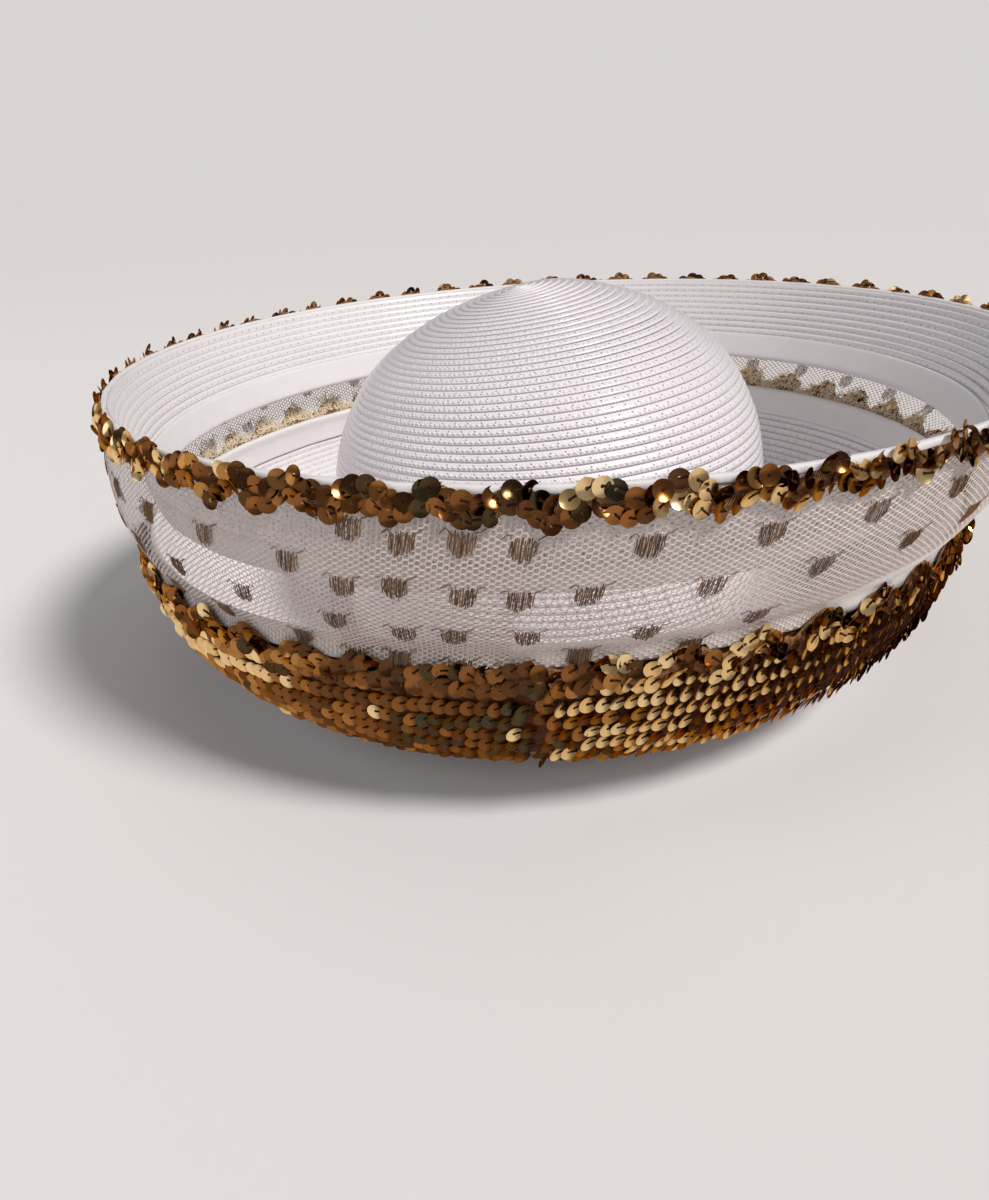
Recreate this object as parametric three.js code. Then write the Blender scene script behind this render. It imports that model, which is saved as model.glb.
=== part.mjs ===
// Church hat: a braid crown inside a deep upturned brim. The brim is a braid dish, an open
// window and a braid ring, wrapped outside with dotted net and trimmed with sequins.
// Millimetres, +Z up. The hat rests on the head opening at z = 0, with the rim's centre on
// the Z axis and the front of the hat towards -Y.

import * as THREE from 'three';

// Driving dimensions
const RIM_HEIGHT = 134;
const BRAID = 1.6; // thickness of the sewn braid
const CLOTH = 1.0; // thickness of the net and of the smooth bands
const SEQUINS = 2.0; // thickness of the overlapping sequins
const TRIM = 1.6; // thickness of the wavy trims
const GAP = 0.3; // clearance between neighbours
const SEGMENTS = 52; // facets round the plain rings
const WAVE_FACETS = 4; // facets along each wave of a trim

const HEAD_RADIUS = 91.5; // inner edge of the head opening, side to side
const SEAT_RADIUS = 97; // outer edge of the flat ring that the hat rests on
const HEAD_OVAL = 0.03; // how much longer than wide the head opening and crown are

const WALL_CENTRE = { radius: 119.5, height: 70 }; // centre of the dish's wall arc
const WALL_ARC = 55.7; // outer radius of that arc
const WALL_TOP = 76; // height of the dish's upper edge
const DISH_RADIUS = WALL_CENTRE.radius + WALL_ARC;
const WALL_END = THREE.MathUtils.degToRad(56); // where the wall arc turns into the floor arc

const RING_TOP = { radius: 188.6, height: 130 }; // outer face of the upper ring, at the rim
const RING_MIDDLE = { radius: 179.0, height: 112 };
const RING_FOOT = { radius: 172.0, height: 94.5 };

const RIM_EDGE_WIDTH = 2.8;

const LOWER_BAND = 13; // width of the smooth band inside the dish
const UPPER_BAND = { inside: 12, outside: 10 }; // widths of the one on the upper ring

const SEQUIN_BAND = { from: 10, to: 63 }; // distances down the dish from its upper edge

// Wavy trims: middle and width of the band, rise and number of its waves, and how much higher
// it lies at the back than half-way round
const RIM_TRIM = { middle: 125.5, width: 10, wave: 2.6, waves: 50, tilt: 0 };
const LOWER_TRIM = { middle: 71.5, width: 9, wave: 2.5, waves: 46, tilt: 3.5 };

// Outline of the crown, from the head opening to the tip
const CROWN = [
  { height: BRAID + GAP, radius: 94.2 },
  { height: 30, radius: 97.2 },
  { height: 62, radius: 97.9 },
  { height: 90, radius: 94.7 },
  { height: 109, radius: 88.0 },
  { height: 127, radius: 76.0 },
  { height: 142.5, radius: 56.0 },
  { height: 153.5, radius: 30.0 },
  { height: 159, radius: 0 },
];

// Outer face of the net, from the rim down to the dish, with the tuck just above the dish
const NET = [
  { height: 131.2, radius: 190.9 },
  { height: 118, radius: 190.7 },
  { height: 104, radius: 189.2 },
  { height: 91, radius: 185.0 },
  { height: 82, radius: 180.2 },
  { height: 76.6, radius: 176.9 },
  { height: 68, radius: 176.6 },
];

// How far the rings lie to the left of the rim's centre, at each height
const BRIM_DRIFT = [
  { height: 0, shift: -10 },
  { height: 72, shift: -11.5 },
  { height: 96, shift: -7.5 },
  { height: RIM_HEIGHT, shift: 0 },
];
const CROWN_DRIFT = [
  { height: 0, shift: -10 },
  { height: 85, shift: -9.8 },
  { height: 124, shift: -7.7 },
  { height: 159, shift: -3.4 },
];
const SIDE_LIFT = 3; // the dish's right side stands this much above its middle

// Value of a table's column at a height, in a straight line between its rows
function valueAt(table, column, height) {
  const rows = [...table].sort((a, b) => a.height - b.height);
  const last = rows[rows.length - 1];
  if (height <= rows[0].height) return rows[0][column];
  if (height >= last.height) return last[column];
  const above = rows.findIndex((row) => row.height > height);
  const low = rows[above - 1];
  const high = rows[above];
  const share = (height - low.height) / (high.height - low.height);
  return THREE.MathUtils.lerp(low[column], high[column], share);
}

const point = (row) => new THREE.Vector2(row.radius, row.height);

// Points of an arc in the (radius, height) plane, turned from the outward level line downwards
function arc(centre, radius, from, to, steps) {
  return Array.from({ length: steps + 1 }, (_, i) => {
    const angle = THREE.MathUtils.lerp(from, to, i / steps);
    return new THREE.Vector2(
      centre.x + radius * Math.cos(angle),
      centre.y - radius * Math.sin(angle),
    );
  });
}

// The part of a path between two distances from its start
function portion(path, from, to) {
  const points = [];
  let run = 0;
  path.slice(1).forEach((end, i) => {
    const start = path[i];
    const length = start.distanceTo(end);
    const inside = (distance) => distance > run && distance < run + length;
    const at = (distance) => start.clone().lerp(end, (distance - run) / length);
    if (run >= from && run <= to) points.push(start);
    if (inside(from)) points.push(at(from));
    if (inside(to)) points.push(at(to));
    run += length;
  });
  return points;
}

// Closed outline of a wall along a path: one side is the path moved by near, the other by far.
// With the path running downwards on the outside of the hat, a positive offset is outwards.
function wall(path, near, far) {
  const side = (offset) => path.map((at, i) => {
    const before = path[Math.max(i - 1, 0)];
    const after = path[Math.min(i + 1, path.length - 1)];
    const along = (from, to) => new THREE.Vector2().subVectors(to, from).normalize();
    const first = i > 0 ? along(before, at) : along(at, after);
    const second = i < path.length - 1 ? along(at, after) : along(before, at);
    const mean = first.clone().add(second).normalize();
    const stretch = offset / Math.max(mean.dot(first), 0.5);
    const moved = new THREE.Vector2(at.x - mean.y * stretch, at.y + mean.x * stretch);
    return at.x === 0 ? new THREE.Vector2(0, at.y + offset) : moved;
  });
  return [...side(far), ...side(near).reverse()];
}

// A ring or dome from an outline that goes down outside and up inside
function turn(outline, segments = SEGMENTS) {
  const onAxis = outline[0].x === 0;
  const closed = onAxis ? outline : [...outline, outline[0]];
  const geometry = new THREE.LatheGeometry([...closed].reverse(), segments);
  geometry.rotateX(Math.PI / 2);
  return geometry;
}

// Moves every vertex by a function of its own position
function reshape(geometry, move) {
  const position = geometry.attributes.position;
  const at = new THREE.Vector3();
  for (let i = 0; i < position.count; i += 1) {
    at.fromBufferAttribute(position, i);
    move(at);
    position.setXYZ(i, at.x, at.y, at.z);
  }
  return geometry;
}

// The hand-made hat's lean: rings shift sideways with height, the head opening is oval, and
// the dish's right side stands a little higher
function settle(geometry, drift) {
  return reshape(geometry, (at) => {
    const radius = Math.hypot(at.x, at.y);
    const roundness = THREE.MathUtils.smoothstep(radius, SEAT_RADIUS + 3, DISH_RADIUS - 25);
    const rise = THREE.MathUtils.smoothstep(at.z, 20, WALL_CENTRE.height);
    const fall = THREE.MathUtils.smoothstep(at.z, WALL_CENTRE.height, RIM_HEIGHT);
    const lift = SIDE_LIFT * roundness * rise * (1 - fall);
    const shift = valueAt(drift, 'shift', at.z);
    at.set(
      at.x + shift,
      at.y * (1 + HEAD_OVAL * (1 - roundness)),
      at.z + (lift * at.x) / DISH_RADIUS,
    );
  });
}

// The dish, outer face: wall arc, floor arc and the flat ring at the head opening
const wallCentre = point(WALL_CENTRE);
const wallStart = Math.asin((WALL_CENTRE.height - WALL_TOP) / WALL_ARC);
const wallPath = arc(wallCentre, WALL_ARC, wallStart, WALL_END, 4);

function floorPath() {
  const start = wallPath[wallPath.length - 1];
  const chord = new THREE.Vector2(start.x - SEAT_RADIUS, start.y);
  const startSlope = Math.PI / 2 - WALL_END;
  const meanSlope = Math.atan2(chord.y, chord.x);
  const endSlope = 2 * meanSlope - startSlope;
  const radius = chord.x / (Math.sin(startSlope) - Math.sin(endSlope));
  const centre = new THREE.Vector2(
    start.x - radius * Math.cos(WALL_END),
    start.y + radius * Math.sin(WALL_END),
  );
  return arc(centre, radius, WALL_END, Math.PI / 2 - endSlope, 3).slice(1);
}

const seatInner = new THREE.Vector2(HEAD_RADIUS, 0);
const dishPath = [...wallPath, ...floorPath(), seatInner];

function crown() {
  const path = [...CROWN].reverse().map(point);
  return settle(turn(wall(path, -BRAID, 0)), CROWN_DRIFT);
}

function lowerBrim() {
  const outline = wall(dishPath, -BRAID, 0);
  return settle(turn(outline), BRIM_DRIFT);
}

// Smooth band inside the dish, folded over its upper edge
function lowerBinding() {
  const depth = BRAID + GAP;
  const leg = wall(portion(dishPath, 0, LOWER_BAND), -depth - CLOTH, -depth);
  const edge = wallPath[0].x;
  const foldTop = WALL_TOP + GAP + CLOTH;
  const outline = [
    new THREE.Vector2(edge, foldTop),
    new THREE.Vector2(edge, foldTop - CLOTH),
    new THREE.Vector2(leg[0].x, foldTop - CLOTH),
    ...leg.slice(1, -1),
    new THREE.Vector2(leg[leg.length - 1].x, foldTop),
  ];
  return settle(turn(outline), BRIM_DRIFT);
}

const ringPath = [RING_TOP, RING_MIDDLE, RING_FOOT].map(point);

function upperBrim() {
  return settle(turn(wall(ringPath, -BRAID, 0)), BRIM_DRIFT);
}

// Smooth band folded over the lower edge of the upper ring
function upperBinding() {
  const foot = ringPath[2];
  const up = new THREE.Vector2().subVectors(ringPath[1], foot).normalize();
  const inward = new THREE.Vector2(-up.y, up.x);
  const place = (height, depth) => foot.clone()
    .addScaledVector(up, height)
    .addScaledVector(inward, depth);
  const clear = GAP + CLOTH / 2;
  const path = [
    place(UPPER_BAND.outside, -clear),
    place(-clear, -clear),
    place(-clear, BRAID + clear),
    place(UPPER_BAND.inside, BRAID + clear),
  ];
  return settle(turn(wall(path, -CLOTH / 2, CLOTH / 2)), BRIM_DRIFT);
}

// Folded edge on top of the upper ring
function rimEdge() {
  const middle = RING_TOP.radius - BRAID / 2;
  const foot = RING_TOP.height + BRAID / 2 + GAP;
  const path = [new THREE.Vector2(middle, RIM_HEIGHT), new THREE.Vector2(middle, foot)];
  return settle(turn(wall(path, -RIM_EDGE_WIDTH / 2, RIM_EDGE_WIDTH / 2)), BRIM_DRIFT);
}

function netBand() {
  const outline = wall(NET.map(point), -CLOTH, 0);
  return settle(turn(outline), BRIM_DRIFT);
}

function sequinBand() {
  const path = portion(dishPath, SEQUIN_BAND.from, SEQUIN_BAND.to);
  return settle(turn(wall(path, GAP, GAP + SEQUINS)), BRIM_DRIFT);
}

// Outer radius of what a trim is sewn on, at a height
function skinRadius(height) {
  const drop = WALL_CENTRE.height - height;
  const sequinArc = WALL_ARC + GAP + SEQUINS;
  const dish = WALL_CENTRE.radius + Math.sqrt(Math.max(sequinArc ** 2 - drop ** 2, 0));
  const net = valueAt(NET, 'radius', height);
  return Math.max(dish, net);
}

// Wavy band of sequins, lying on the skin all round. The flat band is turned at a plain
// radius first, then each vertex is moved to its height on the wave and out to the skin.
function wavyTrim(trim) {
  const plain = RING_TOP.radius;
  const half = trim.width / 2;
  const ends = [half, -half].map((rise) => new THREE.Vector2(plain, trim.middle + rise));
  const band = reshape(turn(wall(ends, GAP, GAP + TRIM), trim.waves * WAVE_FACETS), (at) => {
    const angle = Math.atan2(at.y, at.x);
    const off = Math.hypot(at.x, at.y) - plain;
    const wave = trim.wave * Math.sin(trim.waves * angle);
    const height = at.z + wave + trim.tilt * Math.sin(angle);
    const radius = skinRadius(height) + off;
    at.set(radius * Math.cos(angle), radius * Math.sin(angle), height);
  });
  return settle(band, BRIM_DRIFT);
}

const material = {
  braid: new THREE.MeshStandardMaterial({ color: 0xf1ecef, roughness: 0.42, metalness: 0 }),
  satin: new THREE.MeshStandardMaterial({ color: 0xf4f0f1, roughness: 0.35, metalness: 0 }),
  net: new THREE.MeshStandardMaterial({ color: 0xe6e2e0, roughness: 0.5, metalness: 0 }),
  sequin: new THREE.MeshStandardMaterial({ color: 0xa8732c, roughness: 0.25, metalness: 0.8 }),
};

const hat = new THREE.Group();

function add(name, geometry, finish) {
  const mesh = new THREE.Mesh(geometry, finish);
  mesh.name = name;
  hat.add(mesh);
}

add('crown', crown(), material.braid);
add('lower_brim', lowerBrim(), material.braid);
add('lower_binding', lowerBinding(), material.satin);
add('upper_brim', upperBrim(), material.braid);
add('upper_binding', upperBinding(), material.satin);
add('rim_edge', rimEdge(), material.satin);
add('net_band', netBand(), material.net);
add('sequin_band', sequinBand(), material.sequin);
add('lower_trim', wavyTrim(LOWER_TRIM), material.sequin);
add('rim_trim', wavyTrim(RIM_TRIM), material.sequin);

export default hat;
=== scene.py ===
# %% [markdown]
# # A church hat in sewn braid, dotted net and sequins
# A dome of white sewn braid sits inside a deep upturned brim. The brim is a braid dish, an
# open window and a braid ring, wrapped outside with dotted net and trimmed with sequins.
#
# The imported model gives the true sizes. This notebook dresses it: braid made of real rows,
# net made of real threads, and about four thousand sequins set one by one. The first cell
# loads the model.

# %% Load the imported model
import math
import bpy
import numpy as np
from mathutils import Matrix, Vector


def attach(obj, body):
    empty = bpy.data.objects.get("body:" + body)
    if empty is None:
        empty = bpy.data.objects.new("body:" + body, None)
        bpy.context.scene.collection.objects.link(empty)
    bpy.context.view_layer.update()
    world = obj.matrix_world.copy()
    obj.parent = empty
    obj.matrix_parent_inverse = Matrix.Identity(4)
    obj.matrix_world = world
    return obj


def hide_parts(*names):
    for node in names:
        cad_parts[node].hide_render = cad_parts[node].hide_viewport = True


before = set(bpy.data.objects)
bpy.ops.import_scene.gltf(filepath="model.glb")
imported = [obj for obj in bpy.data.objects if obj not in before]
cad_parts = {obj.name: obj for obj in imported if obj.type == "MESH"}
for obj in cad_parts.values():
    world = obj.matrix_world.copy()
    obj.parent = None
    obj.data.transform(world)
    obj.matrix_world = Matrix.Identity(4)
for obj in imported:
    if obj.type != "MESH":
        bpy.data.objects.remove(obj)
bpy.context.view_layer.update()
print("nodes:", ", ".join(sorted(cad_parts)))

# %% [markdown]
# ## The camera
# The picture was taken from just above the rim with a wide phone lens held a little
# crooked. The camera's place and its three angles came from fitting the ovals of the rim,
# the window and the dish. Sizes are written in millimetres and turned into metres once.

# %% Camera at the picture's viewing angle
MM = 0.001
CAMERA_PLACE = Vector((-7.2, -422.4, 212.5)) * MM
CAMERA_YAW = math.radians(-4.13)
CAMERA_PITCH = math.radians(25.66)
CAMERA_ROLL = math.radians(-3.5)
CAMERA_LENS = 28.5

forward = Vector((
    math.sin(CAMERA_YAW) * math.cos(CAMERA_PITCH),
    math.cos(CAMERA_YAW) * math.cos(CAMERA_PITCH),
    -math.sin(CAMERA_PITCH),
))
level_right = Vector((math.cos(CAMERA_YAW), -math.sin(CAMERA_YAW), 0))
level_up = level_right.cross(forward)
picture_right = math.cos(CAMERA_ROLL) * level_right + math.sin(CAMERA_ROLL) * level_up
picture_up = math.cos(CAMERA_ROLL) * level_up - math.sin(CAMERA_ROLL) * level_right

camera_data = bpy.data.cameras.new("camera")
camera_data.lens = CAMERA_LENS
camera_data.sensor_width = 36
camera = bpy.data.objects.new("camera", camera_data)
camera_turn = Matrix((picture_right, picture_up, -forward)).transposed()
camera.matrix_world = Matrix.Translation(CAMERA_PLACE) @ camera_turn.to_4x4()
bpy.context.scene.collection.objects.link(camera)
bpy.context.scene.camera = camera
print("camera height above the floor:", round(CAMERA_PLACE.z, 3), "m")

# %% [markdown]
# ## Floor and lights
# A pale floor carries the hat. A strong light from above on the right makes the braid's
# ridges and the sequins sparkle, as in the picture. It is a sun with a wide disc, because
# that lights the floor evenly as far as the horizon; a wide weak light fills the left side.
# The camera sees a background as pale as the floor, but everything else is lit by, and
# mirrored in, a darker one, because shiny sequins need something dark to reflect.
#
# Nodes are added by two helpers, here and in all the trees to come. They take a node's inputs
# by name or number, and link those that are other nodes' outputs.

# %% Helpers for objects, lights and nodes
def new_object(name, data):
    """Puts a mesh or a light into the scene as an object at the origin."""
    thing = bpy.data.objects.new(name, data)
    bpy.context.scene.collection.objects.link(thing)
    return thing


def add_light(name, kind, place, aim, **settings):
    """A light at a place that shines towards a point."""
    data = bpy.data.lights.new(name, kind)
    for key, value in settings.items():
        setattr(data, key, value)
    light = new_object(name, data)
    light.location = place
    light.rotation_euler = (Vector(aim) - Vector(place)).to_track_quat("-Z", "Y").to_euler()


def set_inputs(tree, node, values):
    """Links or sets a node's inputs. Colours are given as three parts."""
    for key, value in values.items():
        socket = node.inputs[key]
        if isinstance(value, bpy.types.NodeSocket):
            tree.links.new(value, socket)
        else:
            socket.default_value = (*value, 1) if socket.type == "RGBA" else value


def add_node(tree, kind, values=None, output=0, **settings):
    """Adds a node. Returns one of its outputs, or all of them if `output` is None."""
    node = tree.nodes.new(kind)
    for key, value in settings.items():
        setattr(node, key, value)
    set_inputs(tree, node, values or {})
    return node.outputs if output is None else node.outputs[output]


def new_material(name):
    """A new material, its node tree and its Principled shader."""
    material = bpy.data.materials.new(name)
    material.use_nodes = True
    return material, material.node_tree, material.node_tree.nodes["Principled BSDF"]


# %% Floor, lights and background
FLOOR_HALF = 7.0
PAPER = (0.8, 0.78, 0.775)
ROOM_COLOUR = (0.8, 0.77, 0.76)  # what lights the hat and is mirrored in it
ROOM_STRENGTH = 0.33
BACKDROP = (0.692, 0.658, 0.638)  # what the camera sees

floor_mesh = bpy.data.meshes.new("floor")
floor_corners = [(x * FLOOR_HALF, y * FLOOR_HALF, 0) for x, y in ((-1, -1), (1, -1), (1, 1), (-1, 1))]
floor_mesh.from_pydata(floor_corners, [], [(0, 1, 2, 3)])
floor = new_object("floor", floor_mesh)
floor_paint, floor_nodes, floor_shader = new_material("floor")
set_inputs(floor_nodes, floor_shader, {"Base Color": PAPER, "Roughness": 0.9, "Specular IOR Level": 0.1})
floor_mesh.materials.append(floor_paint)

add_light("key_light", "SUN", (0.7, -0.52, 1.0), (0, 0, 0),
          angle=math.radians(14), energy=2.6, color=(1.0, 0.975, 0.95))
add_light("fill_light", "AREA", (-1.2, -0.5, 0.9), (0, 0, 0.1),
          size=0.9, energy=3, color=(0.92, 0.94, 1.0))

world = bpy.data.worlds.new("studio")
world.use_nodes = True
sky = world.node_tree
set_inputs(sky, sky.nodes["Background"], {"Color": ROOM_COLOUR, "Strength": ROOM_STRENGTH})
room = sky.nodes["Background"].outputs["Background"]
backdrop = add_node(sky, "ShaderNodeBackground", {"Color": BACKDROP, "Strength": 1.0})
is_seen = add_node(sky, "ShaderNodeLightPath", output="Is Camera Ray")
choice = add_node(sky, "ShaderNodeMixShader", {0: is_seen, 1: room, 2: backdrop})
set_inputs(sky, sky.nodes["World Output"], {"Surface": choice})
bpy.context.scene.world = world
bpy.context.scene.view_settings.view_transform = "Standard"

# %% [markdown]
# ## The shape that everything follows
# Every ring of the hat is turned from an outline of (radius, height) points. A hat made by
# hand isn't quite round, so `settle` then moves each point: rings drift sideways with
# height, the head opening is oval, and the dish's right side stands a little higher. The
# solids of the model were made by the same rule, so the dressed pieces land on them.

# %% Outlines and the hand-made lean
RIM_HEIGHT = 134
BRAID_THICKNESS = 1.6
HEAD_RADIUS = 91.5
SEAT_RADIUS = 97
HEAD_OVAL = 0.03
WALL_CENTRE = (119.5, 70)
WALL_ARC = 55.7
WALL_TOP = 76
WALL_END = math.radians(56)
DISH_RADIUS = WALL_CENTRE[0] + WALL_ARC
SIDE_LIFT = 3
OVAL_FADE = (SEAT_RADIUS + 3, DISH_RADIUS - 25)  # radii between which the oval becomes round
LIFT_START = 20  # height at which the side lift begins

# (height, sideways shift)
BRIM_DRIFT = np.array([(0, -10), (72, -11.5), (96, -7.5), (RIM_HEIGHT, 0)])
CROWN_DRIFT = np.array([(0, -10), (85, -9.8), (124, -7.7), (159, -3.4)])


def smoothstep(value, low, high):
    share = np.clip((value - low) / (high - low), 0, 1)
    return share * share * (3 - 2 * share)


def settle(points, drift):
    """Moves points of a true turned shape to where the hand-made hat has them."""
    x, y, z = np.asarray(points, float).T
    radius = np.hypot(x, y)
    roundness = smoothstep(radius, *OVAL_FADE)
    rise = smoothstep(z, LIFT_START, WALL_CENTRE[1])
    fall = smoothstep(z, WALL_CENTRE[1], RIM_HEIGHT)
    lift = SIDE_LIFT * roundness * rise * (1 - fall)
    shift = np.interp(z, drift[:, 0], drift[:, 1])
    oval = 1 + HEAD_OVAL * (1 - roundness)
    return np.stack([x + shift, y * oval, z + lift * x / DISH_RADIUS], axis=1)


def arc(centre, radius, start, end, steps=60):
    """Points of an arc, turned from the outward level line downwards."""
    angle = np.linspace(start, end, steps)
    return np.stack([centre[0] + radius * np.cos(angle), centre[1] - radius * np.sin(angle)], axis=1)


def smooth_through(rows, first_slope=None, steps=14):
    """A smooth curve through a few (radius, height) points."""
    rows = np.asarray(rows, float)
    slope = np.gradient(rows, axis=0)
    if first_slope is not None:
        slope[0] = np.asarray(first_slope, float) * np.linalg.norm(rows[1] - rows[0])
    pieces = []
    for i in range(len(rows) - 1):
        t = np.linspace(0, 1, steps, endpoint=False)[:, None]
        pieces.append(
            (2 * t**3 - 3 * t**2 + 1) * rows[i]
            + (t**3 - 2 * t**2 + t) * slope[i]
            + (3 * t**2 - 2 * t**3) * rows[i + 1]
            + (t**3 - t**2) * slope[i + 1]
        )
    return np.vstack([*pieces, rows[-1:]])


# %% Outlines of the pieces
class Outline:
    """A path of (radius, height) points that runs down the outside of the hat."""

    def __init__(self, points):
        self.points = np.asarray(points, float)
        steps = np.diff(self.points, axis=0)
        self.distance = np.concatenate([[0], np.cumsum(np.hypot(*steps.T))])
        self.length = self.distance[-1]
        heading = np.gradient(self.points, self.distance, axis=0)
        self.heading = heading / np.linalg.norm(heading, axis=1)[:, None]

    def at(self, distance, off=0.0):
        """Radius and height at a distance from the start, moved off the surface."""
        out = self.outward(distance)
        radius = np.interp(distance, self.distance, self.points[:, 0]) + off * out[0]
        height = np.interp(distance, self.distance, self.points[:, 1]) + off * out[1]
        return radius, height

    def outward(self, distance):
        """Radius and height parts of the direction that points out of the hat."""
        along_r = np.interp(distance, self.distance, self.heading[:, 0])
        along_z = np.interp(distance, self.distance, self.heading[:, 1])
        size = np.hypot(along_r, along_z)
        return -along_z / size, along_r / size


def in_space(angle, radius, height):
    """Points at an angle round the hat's axis; angle 0 is the viewer's right."""
    angle, radius, height = np.broadcast_arrays(angle, radius, height)
    return np.stack([radius * np.cos(angle), radius * np.sin(angle), height], axis=1)


def dish_points():
    """The dish from its upper edge: a round wall, a base that meets it, and the flat seat."""
    wall_start = math.asin((WALL_CENTRE[1] - WALL_TOP) / WALL_ARC)
    wall = arc(WALL_CENTRE, WALL_ARC, wall_start, WALL_END)
    start_r, start_z = wall[-1]
    run = start_r - SEAT_RADIUS
    start_slope = math.pi / 2 - WALL_END
    end_slope = 2 * math.atan2(start_z, run) - start_slope
    radius = run / (math.sin(start_slope) - math.sin(end_slope))
    centre = (start_r - radius * math.cos(WALL_END), start_z + radius * math.sin(WALL_END))
    base = arc(centre, radius, WALL_END, math.pi / 2 - end_slope)
    seat = np.linspace((SEAT_RADIUS, 0), (HEAD_RADIUS, 0), 6)
    return np.vstack([wall, base[1:], seat[1:]])


CROWN_ROWS = [
    (0, 159), (30, 153.5), (56, 142.5), (76, 127), (88, 109), (94.7, 90), (97.9, 62), (97.2, 30),
    (94.2, 1.9)]
RING_ROWS = [(189.9, 131.7), (179.7, 112.8), (172.0, 94.5)]
NET_ROWS = [
    (190.9, 131.2), (190.7, 118), (189.2, 104), (185, 91), (180.2, 82), (176.9, 76.6), (176.6, 68)]

crown_outline = Outline(smooth_through(CROWN_ROWS, first_slope=(1, 0)))
dish_outline = Outline(dish_points())
ring_outline = Outline(smooth_through(RING_ROWS))
net_outline = Outline(smooth_through(NET_ROWS))
outlines = (crown_outline, dish_outline, ring_outline, net_outline)
print("outline lengths in mm:", [round(line.length) for line in outlines])

# %% [markdown]
# ## A tree that sweeps a section along a path
# Sewn braid, net threads, thread dots and the trims' tapes are all the same idea: a small
# section that follows a drawn line while one side of it keeps facing out of the hat. One
# recipe for a Geometry Nodes tree does this, with a lens or a flat ribbon as its section. The
# line is a mesh of edges that carries an `outward` direction and a `swell`, which narrows the
# section at loose ends. The tree keeps the distance along the line and across the section as
# the UV map, in metres, so that a material can lay its strands along the row.

# %% Helpers for trees
def new_tree(name, kind, inputs, outputs):
    """A node group. Returns it, its inputs' sockets and its output node."""
    tree = bpy.data.node_groups.new(name, kind)
    for in_out, sockets in (("INPUT", inputs), ("OUTPUT", outputs)):
        for socket, socket_kind in sockets.items():
            tree.interface.new_socket(socket, in_out=in_out, socket_type="NodeSocket" + socket_kind)
    return tree, tree.nodes.new("NodeGroupInput").outputs, tree.nodes.new("NodeGroupOutput")


def named(tree, name, kind="FLOAT"):
    """Reads what the mesh carries under a name."""
    return add_node(tree, "GeometryNodeInputNamedAttribute", {"Name": name}, data_type=kind)


def store(tree, geometry, name, value, kind="FLOAT", domain="POINT"):
    """Stores a value under a name."""
    inputs = {"Geometry": geometry, "Name": name, "Value": value}
    return add_node(tree, "GeometryNodeStoreNamedAttribute", inputs, data_type=kind, domain=domain)


def finish_tree(tree, end, geometry, material):
    """Ends a tree with Realize Instances, smooth shading and Set Material."""
    real = add_node(tree, "GeometryNodeRealizeInstances", {"Geometry": geometry})
    smooth = add_node(tree, "GeometryNodeSetShadeSmooth", {"Geometry": real})
    painted = add_node(tree, "GeometryNodeSetMaterial", {"Geometry": smooth, "Material": material})
    set_inputs(tree, end, {"Geometry": painted})


# %% The sweep tree
def sweep_tree(name, flat):
    """A section along a path: a flat ribbon, or a closed lens with a number of sides."""
    sizes = {"Width": "Float", "Thickness": "Float", "Lean": "Float", "Sides": "Int"}
    tree, given, end = new_tree(
        name, "GeometryNodeTree", {"Geometry": "Geometry", **sizes, "Material": "Material"},
        {"Geometry": "Geometry"})
    curve = add_node(tree, "GeometryNodeMeshToCurve", {"Mesh": given["Geometry"]})
    outward = named(tree, "outward", "FLOAT_VECTOR")
    upright = add_node(
        tree, "GeometryNodeSetCurveNormal", {"Curve": curve, "Normal": outward}, mode="FREE")
    length = add_node(tree, "GeometryNodeSplineParameter", output="Length")
    path = store(tree, upright, "along", length)

    if flat:
        shape = add_node(tree, "GeometryNodeCurvePrimitiveLine", {"Start": (0, -1, 0), "End": (0, 1, 0)})
    else:
        shape = add_node(
            tree, "GeometryNodeCurvePrimitiveCircle", {"Radius": 1, "Resolution": given["Sides"]})
    size = add_node(tree, "ShaderNodeCombineXYZ", {"X": given["Thickness"], "Y": given["Width"]})
    half = add_node(tree, "ShaderNodeVectorMath", {0: size, "Scale": 0.5}, operation="SCALE")
    stretched = add_node(tree, "GeometryNodeTransform", {"Geometry": shape, "Scale": half})
    position = add_node(tree, "GeometryNodeInputPosition")
    across = add_node(tree, "ShaderNodeSeparateXYZ", {"Vector": position}, "Y")
    section = store(tree, stretched, "across", across)
    lean = add_node(tree, "ShaderNodeCombineXYZ", {"Z": given["Lean"]})
    turned = add_node(tree, "GeometryNodeTransform", {"Geometry": section, "Rotation": lean})

    swept = add_node(tree, "GeometryNodeCurveToMesh", {
        "Curve": path, "Profile Curve": turned, "Scale": named(tree, "swell"), "Fill Caps": not flat})
    place = add_node(
        tree, "ShaderNodeCombineXYZ", {"X": named(tree, "along"), "Y": named(tree, "across")})
    mapped = store(tree, swept, "UVMap", place, "FLOAT2", "CORNER")
    finish_tree(tree, end, mapped, given["Material"])
    return tree


SWEEP = sweep_tree("sweep_lens_along_path", flat=False)
RIBBON = sweep_tree("sweep_ribbon_along_path", flat=True)
print("trees:", SWEEP.name, RIBBON.name)

# %% [markdown]
# ## From a tree to a plain mesh
# A tree runs as a modifier on a small source mesh. The result is copied out as a plain
# mesh, and the source and its modifier go away, so that what is left is an ordinary piece.

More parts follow.
